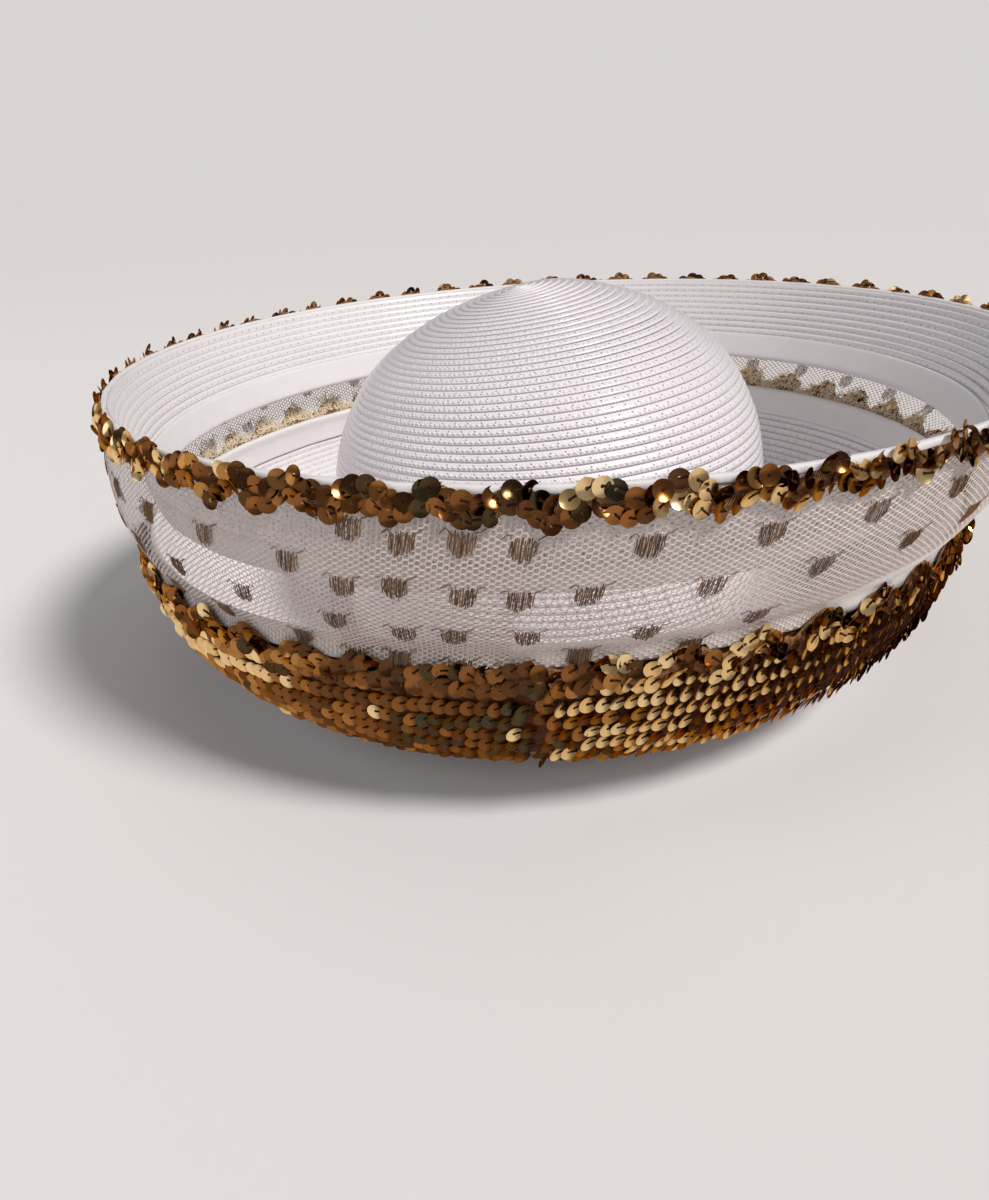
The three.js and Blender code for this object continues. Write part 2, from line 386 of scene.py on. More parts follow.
# %% Running a tree
def grow(name, source, tree, **inputs):
    """Runs a tree on a source mesh and returns a new object with the plain result."""
    seed = new_object(name + "_source", source)
    modifier = seed.modifiers.new("tree", "NODES")
    modifier.node_group = tree
    for item in tree.interface.items_tree:
        if item.in_out == "INPUT" and item.name in inputs:
            modifier[item.identifier] = inputs[item.name]
    evaluated = seed.evaluated_get(bpy.context.evaluated_depsgraph_get())
    mesh = bpy.data.meshes.new_from_object(evaluated)
    mesh.name = name
    bpy.data.objects.remove(seed)
    bpy.data.meshes.remove(source)
    return new_object(name, mesh)


# %% Paths to sweep along
def set_attribute(mesh, name, values):
    """Stores one value, or one vector, on each vertex."""
    values = np.asarray(values, np.float32)
    kind, key = ("FLOAT_VECTOR", "vector") if values.ndim == 2 else ("FLOAT", "value")
    mesh.attributes.new(name, kind, "POINT").data.foreach_set(key, values.ravel())


def point_mesh(name, points, edges=(), **carried):
    """A mesh of points in millimetres, with what each carries for a tree to read."""
    mesh = bpy.data.meshes.new(name)
    mesh.vertices.add(len(points))
    mesh.vertices.foreach_set("co", (np.asarray(points) * MM).astype(np.float32).ravel())
    if len(edges):
        mesh.edges.add(len(edges))
        mesh.edges.foreach_set("vertices", np.asarray(edges, np.int32).ravel())
    mesh.update()
    for key, values in carried.items():
        set_attribute(mesh, key, values)
    return mesh


def sweep(name, tree, points, outward, edges, material, swell=1.0, extra=None, **sizes):
    """Sweeps a section along paths. `outward` is the way that it faces at each point, and
    `extra` is what else the points carry."""
    carried = {"outward": outward, "swell": np.broadcast_to(swell, len(points)), **(extra or {})}
    return grow(name, point_mesh(name, points, edges, **carried), tree, **sizes, Material=material)


def chain(count, copies=1, closed=False):
    """Edges that join points in a row; further rows join the points that come after."""
    first = np.arange(count if closed else count - 1)
    row = np.stack([first, (first + 1) % count], axis=1)
    return (row + count * np.arange(copies)[:, None, None]).reshape(-1, 2)


# %% Fixing a finished piece
def triangles(piece):
    return sum(len(face.vertices) - 2 for face in piece.data.polygons)


def dress(piece, slot, *nodes):
    """Fixes a finished piece to the hat and lets it stand for the model's plain solids."""
    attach(piece, "root")
    if nodes:
        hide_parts(*nodes)
    print(piece.name, triangles(piece), "triangles")


# %% [markdown]
# ## Braid
# The crown and brims are one flat plaited braid, sewn round and round in a spiral with each
# row lapping the next. Painting rows on a smooth dome would lose the ridged outline, so each
# row is swept as a real lens-shaped band that leans a little, with its lower edge outside.
# The plait itself is finer than a millimetre and is left to the material's bump: two ranks
# of slanted strands that meet in the middle of the row, a line of beads where strands cross
# over, and pinholes where the needle went through. The material also paints shade into the
# gaps and pinholes and a highlight on the beads.

# %% Plait pattern, shared by all braid
def calc(tree, operation, *values):
    """Adds a Math node and returns its result."""
    return add_node(tree, "ShaderNodeMath", dict(enumerate(values)), operation=operation)


def spots(tree, along, across, spacing, line, size, stretch):
    """Oval spots in a line along a strip: 1 in the middle of each, 0 from its edge on."""
    share = calc(tree, "SUBTRACT", calc(tree, "FRACT", calc(tree, "DIVIDE", along, spacing)), 0.5)
    aside = calc(tree, "DIVIDE", calc(tree, "MULTIPLY", share, spacing), stretch)
    below = calc(tree, "SUBTRACT", across, line)
    squares = [calc(tree, "MULTIPLY", value, value) for value in (aside, below)]
    away = calc(tree, "SQRT", calc(tree, "ADD", *squares))
    return calc(tree, "MAXIMUM", calc(tree, "SUBTRACT", 1, calc(tree, "DIVIDE", away, size)), 0)


BEAD = {"line": 0.95 * MM, "size": 0.6 * MM, "stretch": 1.5}  # line: how far below the row's middle
PINHOLE = {"line": 0.15 * MM, "size": 0.4 * MM, "stretch": 1}
STRAND_HEIGHT = 0.15  # of the strands, where a bead has 1
STAGGER = 0.25  # of a strand, by which the two ranks are off each other


def plait_group():
    """Height of plaited strands, and the pinholes between them, from a UV map in metres."""
    sizes = dict.fromkeys(("Strand", "Slant", "Bead spacing", "Pinhole spacing"), "Float")
    masks = dict.fromkeys(("Height", "Gap", "Bead", "Pinhole"), "Float")
    tree, given, end = new_tree("plait", "ShaderNodeTree", {"UV": "Vector", **sizes}, masks)
    along, across, _ = add_node(tree, "ShaderNodeSeparateXYZ", {"Vector": given["UV"]}, None)

    side = calc(tree, "SIGN", across)
    slanted = calc(tree, "MULTIPLY", calc(tree, "ABSOLUTE", across), given["Slant"])
    count = calc(tree, "DIVIDE", calc(tree, "SUBTRACT", along, slanted), given["Strand"])
    staggered = calc(tree, "ADD", count, calc(tree, "MULTIPLY", side, STAGGER))
    wave = calc(tree, "ABSOLUTE", calc(tree, "SINE", calc(tree, "MULTIPLY", staggered, math.pi)))
    bead = spots(tree, along, across, given["Bead spacing"], **BEAD)
    pinhole = spots(tree, along, across, given["Pinhole spacing"], **PINHOLE)
    raised = calc(tree, "ADD", calc(tree, "MULTIPLY", wave, STRAND_HEIGHT), bead)
    set_inputs(tree, end, {
        "Height": calc(tree, "SUBTRACT", raised, pinhole),
        "Gap": calc(tree, "SUBTRACT", 1, wave),
        "Bead": bead,
        "Pinhole": pinhole,
    })
    return tree


PLAIT = plait_group()
print("effect:", PLAIT.name)

# %% Helpers for materials
def mix_colour(tree, share, first, second):
    """A colour between two, by a share from 0 to 1."""
    return add_node(tree, "ShaderNodeMix", {0: share, 6: first, 7: second}, 2, data_type="RGBA")


def noise(tree, vector, scale, detail=2.0):
    return add_node(tree, "ShaderNodeTexNoise", {"Vector": vector, "Scale": scale, "Detail": detail})


def bump(tree, height, strength, depth):
    return add_node(tree, "ShaderNodeBump", {"Height": height, "Strength": strength, "Distance": depth})


def attribute(tree, name):
    """Reads what a piece carries under a name."""
    return add_node(tree, "ShaderNodeAttribute", output="Fac", attribute_name=name)


def read_uv(tree):
    return add_node(tree, "ShaderNodeUVMap", uv_map="UVMap")


def read_place(tree):
    return add_node(tree, "ShaderNodeTexCoord", output="Object")


# %% Braid material
STRAND = 1.35 * MM
STRAND_SLANT = 0.8
BEAD_SPACING = 2.2 * MM
PINHOLE_SPACING = 5.4 * MM
# painted highlight on the beads, and painted shade in the pinholes
BEAD_HIGHLIGHT = (0.99, 0.98, 0.99)
PINHOLE_SHADE = (0.4, 0.37, 0.38)


def braid_material(name, colour, shade, depth):
    """White braid with a soft sheen; painted shade in strand gaps and pinholes, painted highlight on
    beads.
    """
    material, tree, shader = new_material(name)
    place = read_place(tree)
    sizes = {
        "UV": read_uv(tree), "Strand": STRAND, "Slant": STRAND_SLANT, "Bead spacing": BEAD_SPACING,
        "Pinhole spacing": PINHOLE_SPACING}
    plait = add_node(tree, "ShaderNodeGroup", sizes, None, node_tree=PLAIT)
    thread = mix_colour(tree, noise(tree, place, 60), colour, tuple(part * 0.94 for part in colour))
    # painted shade in the gaps between strands
    gap_shaded = mix_colour(tree, calc(tree, "MULTIPLY", plait["Gap"], 0.1), thread, shade)
    # painted highlight on the beads
    bead_highlighted = mix_colour(tree, calc(tree, "MULTIPLY", plait["Bead"], 0.6), gap_shaded, BEAD_HIGHLIGHT)
    # painted shade in the pinholes
    pinhole = calc(tree, "MINIMUM", calc(tree, "MULTIPLY", plait["Pinhole"], 1.6), 1)
    fibre = calc(tree, "MULTIPLY", noise(tree, place, 2200, 1), 0.3)
    set_inputs(tree, shader, {
        "Base Color": mix_colour(tree, pinhole, bead_highlighted, PINHOLE_SHADE),
        "Roughness": 0.3,
        "Coat Weight": 0.7,
        "Coat Roughness": 0.17,
        "Normal": bump(tree, calc(tree, "ADD", plait["Height"], fibre), 1.0, depth),
    })
    return material


# One braid in two copies: the crown's copy is lighter than the brims', as painted light on the crown.
CROWN_BRAID_LIT = braid_material("crown_braid", (0.985, 0.93, 0.97), (0.46, 0.42, 0.46), depth=0.45 * MM)
BRIM_BRAID = braid_material("brim_braid", (0.9, 0.865, 0.875), (0.5, 0.46, 0.47), depth=0.5 * MM)
print("materials:", CROWN_BRAID_LIT.name, BRIM_BRAID.name)

# %% Spiral rows of braid
ROW_PITCH = 3.3
ROW_WIDTH = 4.3
ROW_THICKNESS = 1.3
ROW_LEAN = math.radians(-14)  # the lower edge stands out
CROWN_CENTRE = 62  # height of the point that the crown's rows tilt about
# distance down the crown, degrees that its rows are tilted there
CROWN_TILT = np.array([(0, 10), (30, 9), (59, 7.5), (84, 5), (105, 3.2), (125, 2), (150, 0)])
CROWN_FIRST_ROW = 0.6  # distance from the crown's tip
ROW_TIP = 0.2  # the least radius, so that a row never meets the axis
ROW_SIDES = 8
TAPER_TURN = 0.03  # share of a turn in which a row's loose end narrows
TAPER_LEAST = 0.05
CROWN_STEPS = 120  # points in one turn of a row
DISH_STEPS = 150
RING_STEPS = 170


def tilt_rows(outline, distance, angle):
    """Turns the crown's rows about its middle, so that they rise towards the viewer's right;
    the turn fades out towards the lower edge."""
    radius, height = outline.points.T
    polar_table = np.arctan2(radius, height - CROWN_CENTRE)
    polar = np.interp(distance, outline.distance, polar_table)
    tilt = np.radians(np.interp(distance, CROWN_TILT[:, 0], CROWN_TILT[:, 1]))
    x = np.sin(polar) * np.cos(angle)
    y = np.sin(polar) * np.sin(angle)
    up = np.cos(polar)
    turned_x = x * np.cos(tilt) - up * np.sin(tilt)
    turned_up = up * np.cos(tilt) + x * np.sin(tilt)
    turned_polar = np.arctan2(np.hypot(turned_x, y), turned_up)
    return np.interp(turned_polar, polar_table, outline.distance), np.arctan2(y, turned_x)


def braid_rows(name, outline, drift, start, end, per_turn, is_crown, material):
    """Sews braid round an outline in a spiral; its last turn is a plain ring, and so is the
    first one unless the spiral starts at the crown's tip."""
    lead = 0 if is_crown else 1
    turns = (end - start) / ROW_PITCH + 1 + lead
    turn = np.linspace(0, turns, int(turns * per_turn) + 1)
    distance = np.clip(start + ROW_PITCH * (turn - lead), start, end)
    angle = 2 * math.pi * turn + math.pi / 2
    if is_crown:
        distance, angle = tilt_rows(outline, distance, angle)
    radius, height = outline.at(distance, -BRAID_THICKNESS / 2)
    points = settle(in_space(angle, np.maximum(radius, ROW_TIP), height), drift)
    outward = in_space(angle, *outline.outward(distance))
    swell = np.minimum(smoothstep(turn, 0, TAPER_TURN), smoothstep(turns - turn, 0, TAPER_TURN))
    return sweep(
        name, SWEEP, points, outward, chain(len(points)), material, np.maximum(swell, TAPER_LEAST),
        Width=ROW_WIDTH * MM, Thickness=ROW_THICKNESS * MM, Lean=ROW_LEAN, Sides=ROW_SIDES)


# %% Crown and both brims
half_row = ROW_WIDTH / 2
crown_braid = braid_rows(
    "crown_braid", crown_outline, CROWN_DRIFT, CROWN_FIRST_ROW, crown_outline.length - half_row,
    per_turn=CROWN_STEPS, is_crown=True, material=CROWN_BRAID_LIT)
dress(crown_braid, "braid", "crown")
for name, node, outline, per_turn in (
    ("lower_brim_braid", "lower_brim", dish_outline, DISH_STEPS),
    ("upper_brim_braid", "upper_brim", ring_outline, RING_STEPS),
):
    brim_braid = braid_rows(
        name, outline, BRIM_DRIFT, half_row, outline.length - half_row,
        per_turn=per_turn, is_crown=False, material=BRIM_BRAID)
    dress(brim_braid, "braid", node)

# %% [markdown]
# ## Smooth bands and the rim's edge
# The cut edges of the braid are closed with smooth ribbon: one band inside the dish, folded
# over its upper edge, one folded over the lower edge of the ring, and a narrow double edge
# on the rim. A ribbon could be bent round by a simulation, but its path is already known,
# so each is turned from an outline with round edges, and its ripple is a small random
# wander of a tenth of a millimetre or two.

# %% Ribbon cloth
def weave_group():
    """Height of a plain weave, from a UV map in metres."""
    inputs = {"UV": "Vector", "Along": "Float", "Across": "Float"}
    tree, given, end = new_tree("weave", "ShaderNodeTree", inputs, {"Height": "Float"})
    split = add_node(tree, "ShaderNodeSeparateXYZ", {"Vector": given["UV"]}, None)
    waves = []
    for axis, spacing in (("X", "Along"), ("Y", "Across")):
        count = calc(tree, "DIVIDE", split[axis], given[spacing])
        waves.append(calc(tree, "SINE", calc(tree, "MULTIPLY", count, 2 * math.pi)))
    set_inputs(tree, end, {"Height": calc(tree, "MULTIPLY", *waves)})
    return tree


WEAVE = weave_group()


def ribbon_material(name, colour, roughness, along, across):
    """Smooth white ribbon or folded net, with its fine ribs as bump."""
    material, tree, shader = new_material(name)
    place = read_place(tree)
    ribs = {"UV": read_uv(tree), "Along": along * MM, "Across": across * MM}
    weave = add_node(tree, "ShaderNodeGroup", ribs, node_tree=WEAVE)
    uneven = calc(tree, "MULTIPLY", noise(tree, place, 420, 2), 1.6)
    shaded = tuple(part * 0.9 for part in colour)
    set_inputs(tree, shader, {
        "Base Color": mix_colour(tree, noise(tree, place, 90, 3), colour, shaded),
        "Roughness": roughness,
        "Sheen Weight": 0.25,
        "Normal": bump(tree, calc(tree, "ADD", weave, uneven), 0.5, 0.12 * MM),
    })
    return material


RIBBON_CLOTH = ribbon_material("ribbon", (0.93, 0.9, 0.9), roughness=0.42, along=0.55, across=0.55)
FOLDED_NET = ribbon_material("folded_net", (0.8, 0.74, 0.72), roughness=0.55, along=1.3, across=40)


# %% Turned ribbons
RIPPLES = np.arange(5, 45, 4)  # waves round the ring


def ribbon_outline(centre, thickness, round_steps=4):
    """Closed outline of a strip round its centre line, with round edges."""
    centre = np.asarray(centre, float)
    heading = np.gradient(centre, axis=0)
    heading /= np.linalg.norm(heading, axis=1)[:, None]
    side = np.stack([-heading[:, 1], heading[:, 0]], axis=1) * thickness / 2
    turn = np.linspace(0, math.pi, round_steps + 2)[1:-1, None]
    end = centre[-1] + side[-1] * np.cos(turn) + heading[-1] * thickness / 2 * np.sin(turn)
    start = centre[0] - side[0] * np.cos(turn) - heading[0] * thickness / 2 * np.sin(turn)
    return np.vstack([centre + side, end, (centre - side)[::-1], start])


def ring_mesh(name, points, rows, run, girth, material):
    """A closed ring of sections, each of a number of points; `run` is the distance along the
    section and `girth` the ring's length, for the UV map."""
    segments = len(points) // rows
    i, j = np.meshgrid(np.arange(segments), np.arange(rows), indexing="ij")
    corners = [(i, j), (i, j + 1), (i + 1, j + 1), (i + 1, j)]
    faces = np.stack([(a % segments) * rows + b % rows for a, b in corners], axis=2).reshape(-1, 4)
    uv = np.stack([np.stack([a * girth / segments, run[b]], axis=2) for a, b in corners], axis=2)
    mesh = bpy.data.meshes.new(name)
    mesh.from_pydata((points * MM).tolist(), [], faces.tolist())
    mesh.uv_layers.new(name="UVMap").data.foreach_set("uv", (uv.reshape(-1) * MM).astype(np.float32))
    mesh.materials.append(material)
    mesh.shade_smooth()
    return new_object(name, mesh)


def turned_ribbon(name, outline, drift, segments, wander, seed, material):
    """Turns a closed outline round the hat's axis; the ring wanders a little, as cloth does."""
    outline = np.asarray(outline)
    rows = len(outline)
    angle = np.linspace(0, 2 * math.pi, segments, endpoint=False)
    random = np.random.default_rng(seed)
    phase = random.uniform(0, 2 * math.pi, len(RIPPLES))
    ripple = np.sin(angle[:, None] * RIPPLES + phase).sum(axis=1) * wander / math.sqrt(len(RIPPLES))
    radius = outline[None, :, 0] + ripple[:, None]
    height = np.broadcast_to(outline[None, :, 1], radius.shape)
    points = settle(in_space(np.repeat(angle, rows), radius.ravel(), height.ravel()), drift)
    steps = np.linalg.norm(np.diff(np.vstack([outline, outline[:1]]), axis=0), axis=1)
    run = np.concatenate([[0], np.cumsum(steps)])
    return ring_mesh(name, points, rows, run, 2 * math.pi * outline[:, 0].mean(), material)


# %% Band inside the dish
CLOTH = 0.8
GAP = 0.25
BAND_SEGMENTS = 220
RIBBON_WANDER = 0.12
LOWER_LEG = (2.2, 12.6)  # from and to how far down the inside of the dish the lower band runs
LOWER_FOLD = {"out": 1.2, "down": 0.7, "radius": 1.5}  # place and size of its turn over the edge
LOWER_EDGE_RADIUS = 174.9

leg_r, leg_z = dish_outline.at(np.linspace(*LOWER_LEG, 9), -(BRAID_THICKNESS + GAP + CLOTH / 2))
fold_centre = (leg_r[0] + LOWER_FOLD["out"], WALL_TOP - LOWER_FOLD["down"])
fold = arc(fold_centre, LOWER_FOLD["radius"], math.pi * 1.05, math.pi * 1.5, 5)
lower_path = [(LOWER_EDGE_RADIUS, WALL_TOP + GAP + CLOTH / 2), *fold[::-1], *zip(leg_r, leg_z)]
lower_band = turned_ribbon(
    "lower_band", ribbon_outline(lower_path, CLOTH), BRIM_DRIFT, BAND_SEGMENTS, RIBBON_WANDER,
    seed=3, material=RIBBON_CLOTH)
dress(lower_band, "binding", "lower_binding")

# %% Band round the foot of the upper ring
UPPER_OUTER_LEG = 10.8  # how far up the outside of the ring the band runs
UPPER_INNER_LEG = 11.6
FOOT_ROUNDNESS = 0.62

ring_foot = ring_outline.length
fold_clear = GAP + CLOTH / 2
leg_down = np.array([0, 0.6, 1.4, 2.6, 4.5, 6.6, 8.7, UPPER_OUTER_LEG])
leg_off = np.interp(leg_down, [0, 1.4, 2.6], [-0.6, 0.3, fold_clear])  # its top is sewn under a row
outer_leg = np.transpose(ring_outline.at(ring_foot - UPPER_OUTER_LEG + leg_down, leg_off))
leg_up = np.linspace(ring_foot, ring_foot - UPPER_INNER_LEG, 8)
inner_leg = np.transpose(ring_outline.at(leg_up, -BRAID_THICKNESS - fold_clear))
foot_turn = np.linspace(0, math.pi, 7)[1:-1, None]
foot_middle = (outer_leg[-1] + inner_leg[0]) / 2
foot_side = (outer_leg[-1] - inner_leg[0]) / 2
foot_down = np.array([foot_side[1], -foot_side[0]]) * FOOT_ROUNDNESS
foot = foot_middle + foot_side * np.cos(foot_turn) + foot_down * np.sin(foot_turn)
upper_path = np.vstack([outer_leg, foot, inner_leg])
upper_band = turned_ribbon(
    "upper_band", ribbon_outline(upper_path, CLOTH), BRIM_DRIFT, BAND_SEGMENTS, RIBBON_WANDER,
    seed=4, material=RIBBON_CLOTH)
dress(upper_band, "binding", "upper_binding")

# %% Double edge on the rim
RIM_CLOTH = 0.38
RIM_SEGMENTS = 360
rim_path = [
    (191.4, 131.0), (191.4, 132.6), (191.0, 133.15), (190.6, 132.75), (190.2, 133.15),
    (189.8, 132.6), (189.6, 131.7)]
rim_band = turned_ribbon(
    "rim_double_edge", ribbon_outline(rim_path, RIM_CLOTH, 2), BRIM_DRIFT, RIM_SEGMENTS, RIBBON_WANDER,
    seed=5, material=RIBBON_CLOTH)
dress(rim_band, "binding", "rim_edge")

# %% [markdown]
# ## Net
# The sleeve is white net: threads round six-sided holes 1.9 mm apart. A see-through picture
# of net on a smooth sheet would do from far off, but here the holes show, with braid behind
# some and the open window behind others. So each thread between two knots is a ribbon
# of its own, about 74,000 of them, all from one honeycomb of edges and the ribbon tree. The
# strip is longer than the hat is round: its end lies over its start for 50 mm at the front,
# which leaves a double layer and an upright edge there. At its foot the net's edge is turned
# in, in folds too fine to see through. That hem is a closed band just behind the net. On the
# right more of the net was folded, so the hem rises there and lies over the net; at the back
# it stays below the trim, whose thread ends show there.

# %% Net strip with an overlap
NET_PITCH = 1.9
NET_THREAD = 0.43
THREAD_LEANS = (0.35, -0.2, 0.6)  # how far threads that run left, right and level face upwards
NET_START = math.radians(-110.5)
NET_END = math.radians(267)
NET_RADIUS = 188.0
LAP_LIFT = 0.35
NET_FOOT = 57.5  # distance down the net to its crease
NET_BOTTOM = net_outline.length - 3  # the sleeve ends here, under the lower trim
HEM_CLEAR = 0.35  # how far the net stands off its hem
CREASE_START = 20  # distance down the net at which its folds and the hem's room begin
CREASE_WAVES = ((3, 0.9, 0.4), (7, 0.5, 2.1), (16, 0.35, 4.0))  # number round, size, phase
CREASE_OUT = 0.6  # share of the waves that goes outwards
CREASE_UP = 0.5  # and upwards
LAP_RISE = 0.12  # angle over which the end rises on to the start
NET_TOP = 0.6  # distance down the net of its first knots
KNOT_WANDER = 0.06


def net_place(angle, distance, off):
    """Points on the net, off millimetres outside it; its end rises over its start, and its
    foot over the hem."""
    low = smoothstep(distance, CREASE_START, NET_FOOT)
    waves = low * sum(size * np.sin(count * angle + phase) for count, size, phase in CREASE_WAVES)
    full_turn = NET_START + 2 * math.pi
    lap = LAP_LIFT * smoothstep(angle, full_turn - LAP_RISE, full_turn)
    radius, height = net_outline.at(distance, off + lap + HEM_CLEAR * low)
    return settle(in_space(angle, radius + CREASE_OUT * waves, height + CREASE_UP * waves), BRIM_DRIFT)


def net_outward(angle, distance, lean=0.0):
    """The direction that a thread faces: out of the net, or leaning upwards."""
    out_r, out_z = net_outline.outward(distance)
    return in_space(angle, out_r - lean * out_z, out_z + lean * out_r)


# %% Knots, and the threads between them
side_length = NET_PITCH / math.sqrt(3)
zigzags = int((NET_END - NET_START) * NET_RADIUS / (1.5 * side_length)) + 1
steps_down = int((NET_BOTTOM - 1) / (NET_PITCH / 2)) + 1
zigzag_number, step_number = np.meshgrid(np.arange(zigzags), np.arange(steps_down), indexing="ij")
swing = np.where((zigzag_number + step_number) % 2, -1, 1)
knot_random = np.random.default_rng(11)
knot_down = NET_TOP + step_number * NET_PITCH / 2
knot_down = knot_down + knot_random.normal(0, KNOT_WANDER, swing.shape)
knot_round = (zigzag_number * 1.5 + swing / 4) * side_length
knot_round = knot_round + knot_random.normal(0, KNOT_WANDER, swing.shape)
knot_angle = NET_START + knot_round / NET_RADIUS
knots = np.arange(swing.size).reshape(swing.shape)
downward = np.stack([knots[:, :-1].ravel(), knots[:, 1:].ravel()], axis=1)
runs_left = (swing[:, :-1] > 0).ravel()
has_level = swing[:-1] > 0
level = np.stack([knots[:-1][has_level], knots[1:][has_level]], axis=1)
net_edges = np.vstack([downward[runs_left], downward[~runs_left] + knots.size, level + 2 * knots.size])
print("knots:", knots.size)


# %% Thread finish, and the net itself
def thread_material(name, first, second, roughness, twist, shine=0.5):
    """Spun thread: its twist shows as slanted lines of painted highlight and shade, and its colour
    wanders at random.
    """
    material, tree, shader = new_material(name)
    place = read_place(tree)
    along, across, _ = add_node(tree, "ShaderNodeSeparateXYZ", {"Vector": read_uv(tree)}, None)
    slanted = calc(tree, "MULTIPLY", calc(tree, "ADD", along, across), 2 * math.pi / (twist * MM))
    turns = calc(tree, "SINE", slanted)
    # painted highlight and shade along the twist, with a random wander of tone
    lit = calc(tree, "ADD", calc(tree, "MULTIPLY", turns, 0.25), noise(tree, place, 900, 2))
    share = add_node(tree, "ShaderNodeMapRange", {"Value": lit, "From Min": 0.3, "From Max": 0.75})
    set_inputs(tree, shader, {
        "Base Color": mix_colour(tree, share, first, second),
        "Roughness": roughness,
        "Specular IOR Level": shine,
        "Normal": bump(tree, turns, 0.5, 0.05 * MM),
    })
    return material


NET_WHITE = thread_material(
    "net_thread", (0.59, 0.475, 0.42), (0.81, 0.7, 0.645), roughness=0.35, twist=0.5)
knot_angle, knot_down = knot_angle.ravel(), knot_down.ravel()
knot_place = net_place(knot_angle, knot_down, 0)
facing = [net_outward(knot_angle, knot_down, lean) for lean in THREAD_LEANS]
net = sweep(
    "net", RIBBON, np.vstack([knot_place] * len(THREAD_LEANS)), np.vstack(facing), net_edges, NET_WHITE,
    Width=NET_THREAD * MM)

# %% The net's hem
# By the angle in degrees round the hat: how far the hem's upper edge rises, in millimetres
HEM_RISE = np.array([
    (-180, 2), (-74, 2), (-66, 4), (-60, 9), (-45, 12), (-30, 22), (-6, 20), (6, -4), (174, -4),
    (180, 2)])
HEM_OVER = np.array([(-64, 0), (-56, 1), (2, 1), (10, 0)])  # where the hem lies over the net
HEM_SEGMENTS = 360
HEM_STEPS = 7
HEM_THICKNESS = 0.4
HEM_RADIUS = 177  # where the length and width of its ribs are measured
HEM_GIRTH = 44
# (share of the way down the hem, how far it stands off the net)
HEM_BEHIND = np.array([(0, -1.6), (0.35, -0.2), (1, -0.2)])
HEM_OUTSIDE = np.array([(0, -0.3), (0.4, 0.45), (1, 0.3)])


def round_table(angle, table):
    """Reads a table of (degrees round the hat, value) at an angle."""
    return np.interp((np.degrees(angle) + 180) % 360 - 180, table[:, 0], table[:, 1])


def hem_top(angle):
    """Distance down the net at which the hem begins."""
    return NET_FOOT - round_table(angle, HEM_RISE)


hem_angle = NET_START + np.linspace(0, 2 * math.pi, HEM_SEGMENTS, endpoint=False)
hem_share = np.linspace(0, 1, HEM_STEPS)
top = hem_top(hem_angle)[:, None]
hem_down = top + hem_share * (NET_BOTTOM - top)
hem_behind = np.interp(hem_share, *HEM_BEHIND.T)
hem_outside = np.interp(hem_share, *HEM_OUTSIDE.T)
hem_off = hem_behind + round_table(hem_angle, HEM_OVER)[:, None] * (hem_outside - hem_behind)
section_down = np.concatenate([hem_down, hem_down[:, ::-1]], axis=1)
section_off = np.concatenate([hem_off, hem_off[:, ::-1] - HEM_THICKNESS], axis=1)
hem_points = net_place(np.repeat(hem_angle, 2 * HEM_STEPS), section_down.ravel(), section_off.ravel())
hem_run = np.linspace(0, HEM_GIRTH, 2 * HEM_STEPS + 1)
hem = ring_mesh("net_hem", hem_points, 2 * HEM_STEPS, hem_run, 2 * math.pi * HEM_RADIUS, FOLDED_NET)

# %% The sleeve as one sheet
dress(net, "net", "net_band")
dress(hem, "net")
net_width = NET_BOTTOM * MM
net_length = (NET_END - NET_START) * NET_RADIUS * MM
net_thread_area = sum(face.area for face in net.data.polygons)
open_share = 1 - net_thread_area / (net_width * net_length)
print("net:", len(net_edges), "threads, open share", round(open_share, 2))

# %% [markdown]
# ## Thread dots
# The net carries woven dots of brown and tan metal thread: a dozen short upright threads
# side by side, round below and straight on top, with one thread's tail at each upper corner.
# Copies of one dot would look stamped, so every thread is drawn on its own, with its ends a
# little off, and all of them go through the sweep tree in one mesh.

# %% Where the dots go
DOT_STEP = math.radians(10.146)
FIRST_DOT = math.radians(-103.74)
DOT_ROWS = (14.0, 29.3, 47.0, 61.5)  # distances down the net
LAST_ROW_RAISE = 4.0  # how much higher the lowest dots sit to the right of the join
JOIN_ANGLE = -98
DOT_SPREAD = (0.0, 1.6, 3.1, 2.8)  # degrees that each row's dots are spread from the join
# The strip was wound a little askew. By the angle in degrees round the hat: share of the
# spread, and distance in millimetres that the dots sit lower.
SPREAD_SHARE = np.array([
    (-114.5, -0.45), (-104.5, 0), (-93, 0.5), (-83, 0.8), (-70, 1), (-40, 1), (225, -1),
    (241, -0.8), (251.5, -0.5), (262.5, 0), (267, 0.2)])
DOT_SINK = np.array([
    (-114.5, 0), (-104, 0.5), (-93, 1.5), (-83, 2.5), (-40, 2.5), (225, -9.5), (236, -9),
    (246.3, -5.5), (251.4, -3.4), (256.4, -1), (261.5, 0), (267, 2.5)])
DOTS_IN_ROW = 38

# %% One dot
DOT_THREADS = 14
DOT_HALF_WIDTH = 3.6
DOT_TOP = 2.8
DOT_DEPTH = 3.5
DOT_SHOULDER = 0.8  # how much lower its outermost threads begin
DOT_MARGIN = 0.4
DOT_POINTS = 4  # points of each thread
DOT_LIFT = 0.32  # how far its threads lie off the net
DOT_BOW = (0.0, 0.16, 0.16, 0.0)  # and how much further between their ends
TOP_WANDER = 0.35
BOTTOM_WANDER = 0.4
SWAY = 0.12
THREAD_WANDER = 0.06
DOT_TONES = (0.0, 0.1, 0.25, 0.75, 1.0)  # brown to tan
DARK_BROWN_METAL = (0.03, 0.01, 0.003)
TAN_METAL = (0.29, 0.145, 0.057)
DOT_TAILS = (
    ((-3.4, 2.6), (-4.0, 3.8), (-4.9, 3.9), (-6.4, 2.5)),
    ((3.5, 2.4), (4.1, 3.3), (5.0, 3.5), (6.4, 4.2)),
)
dot_random = np.random.default_rng(23)


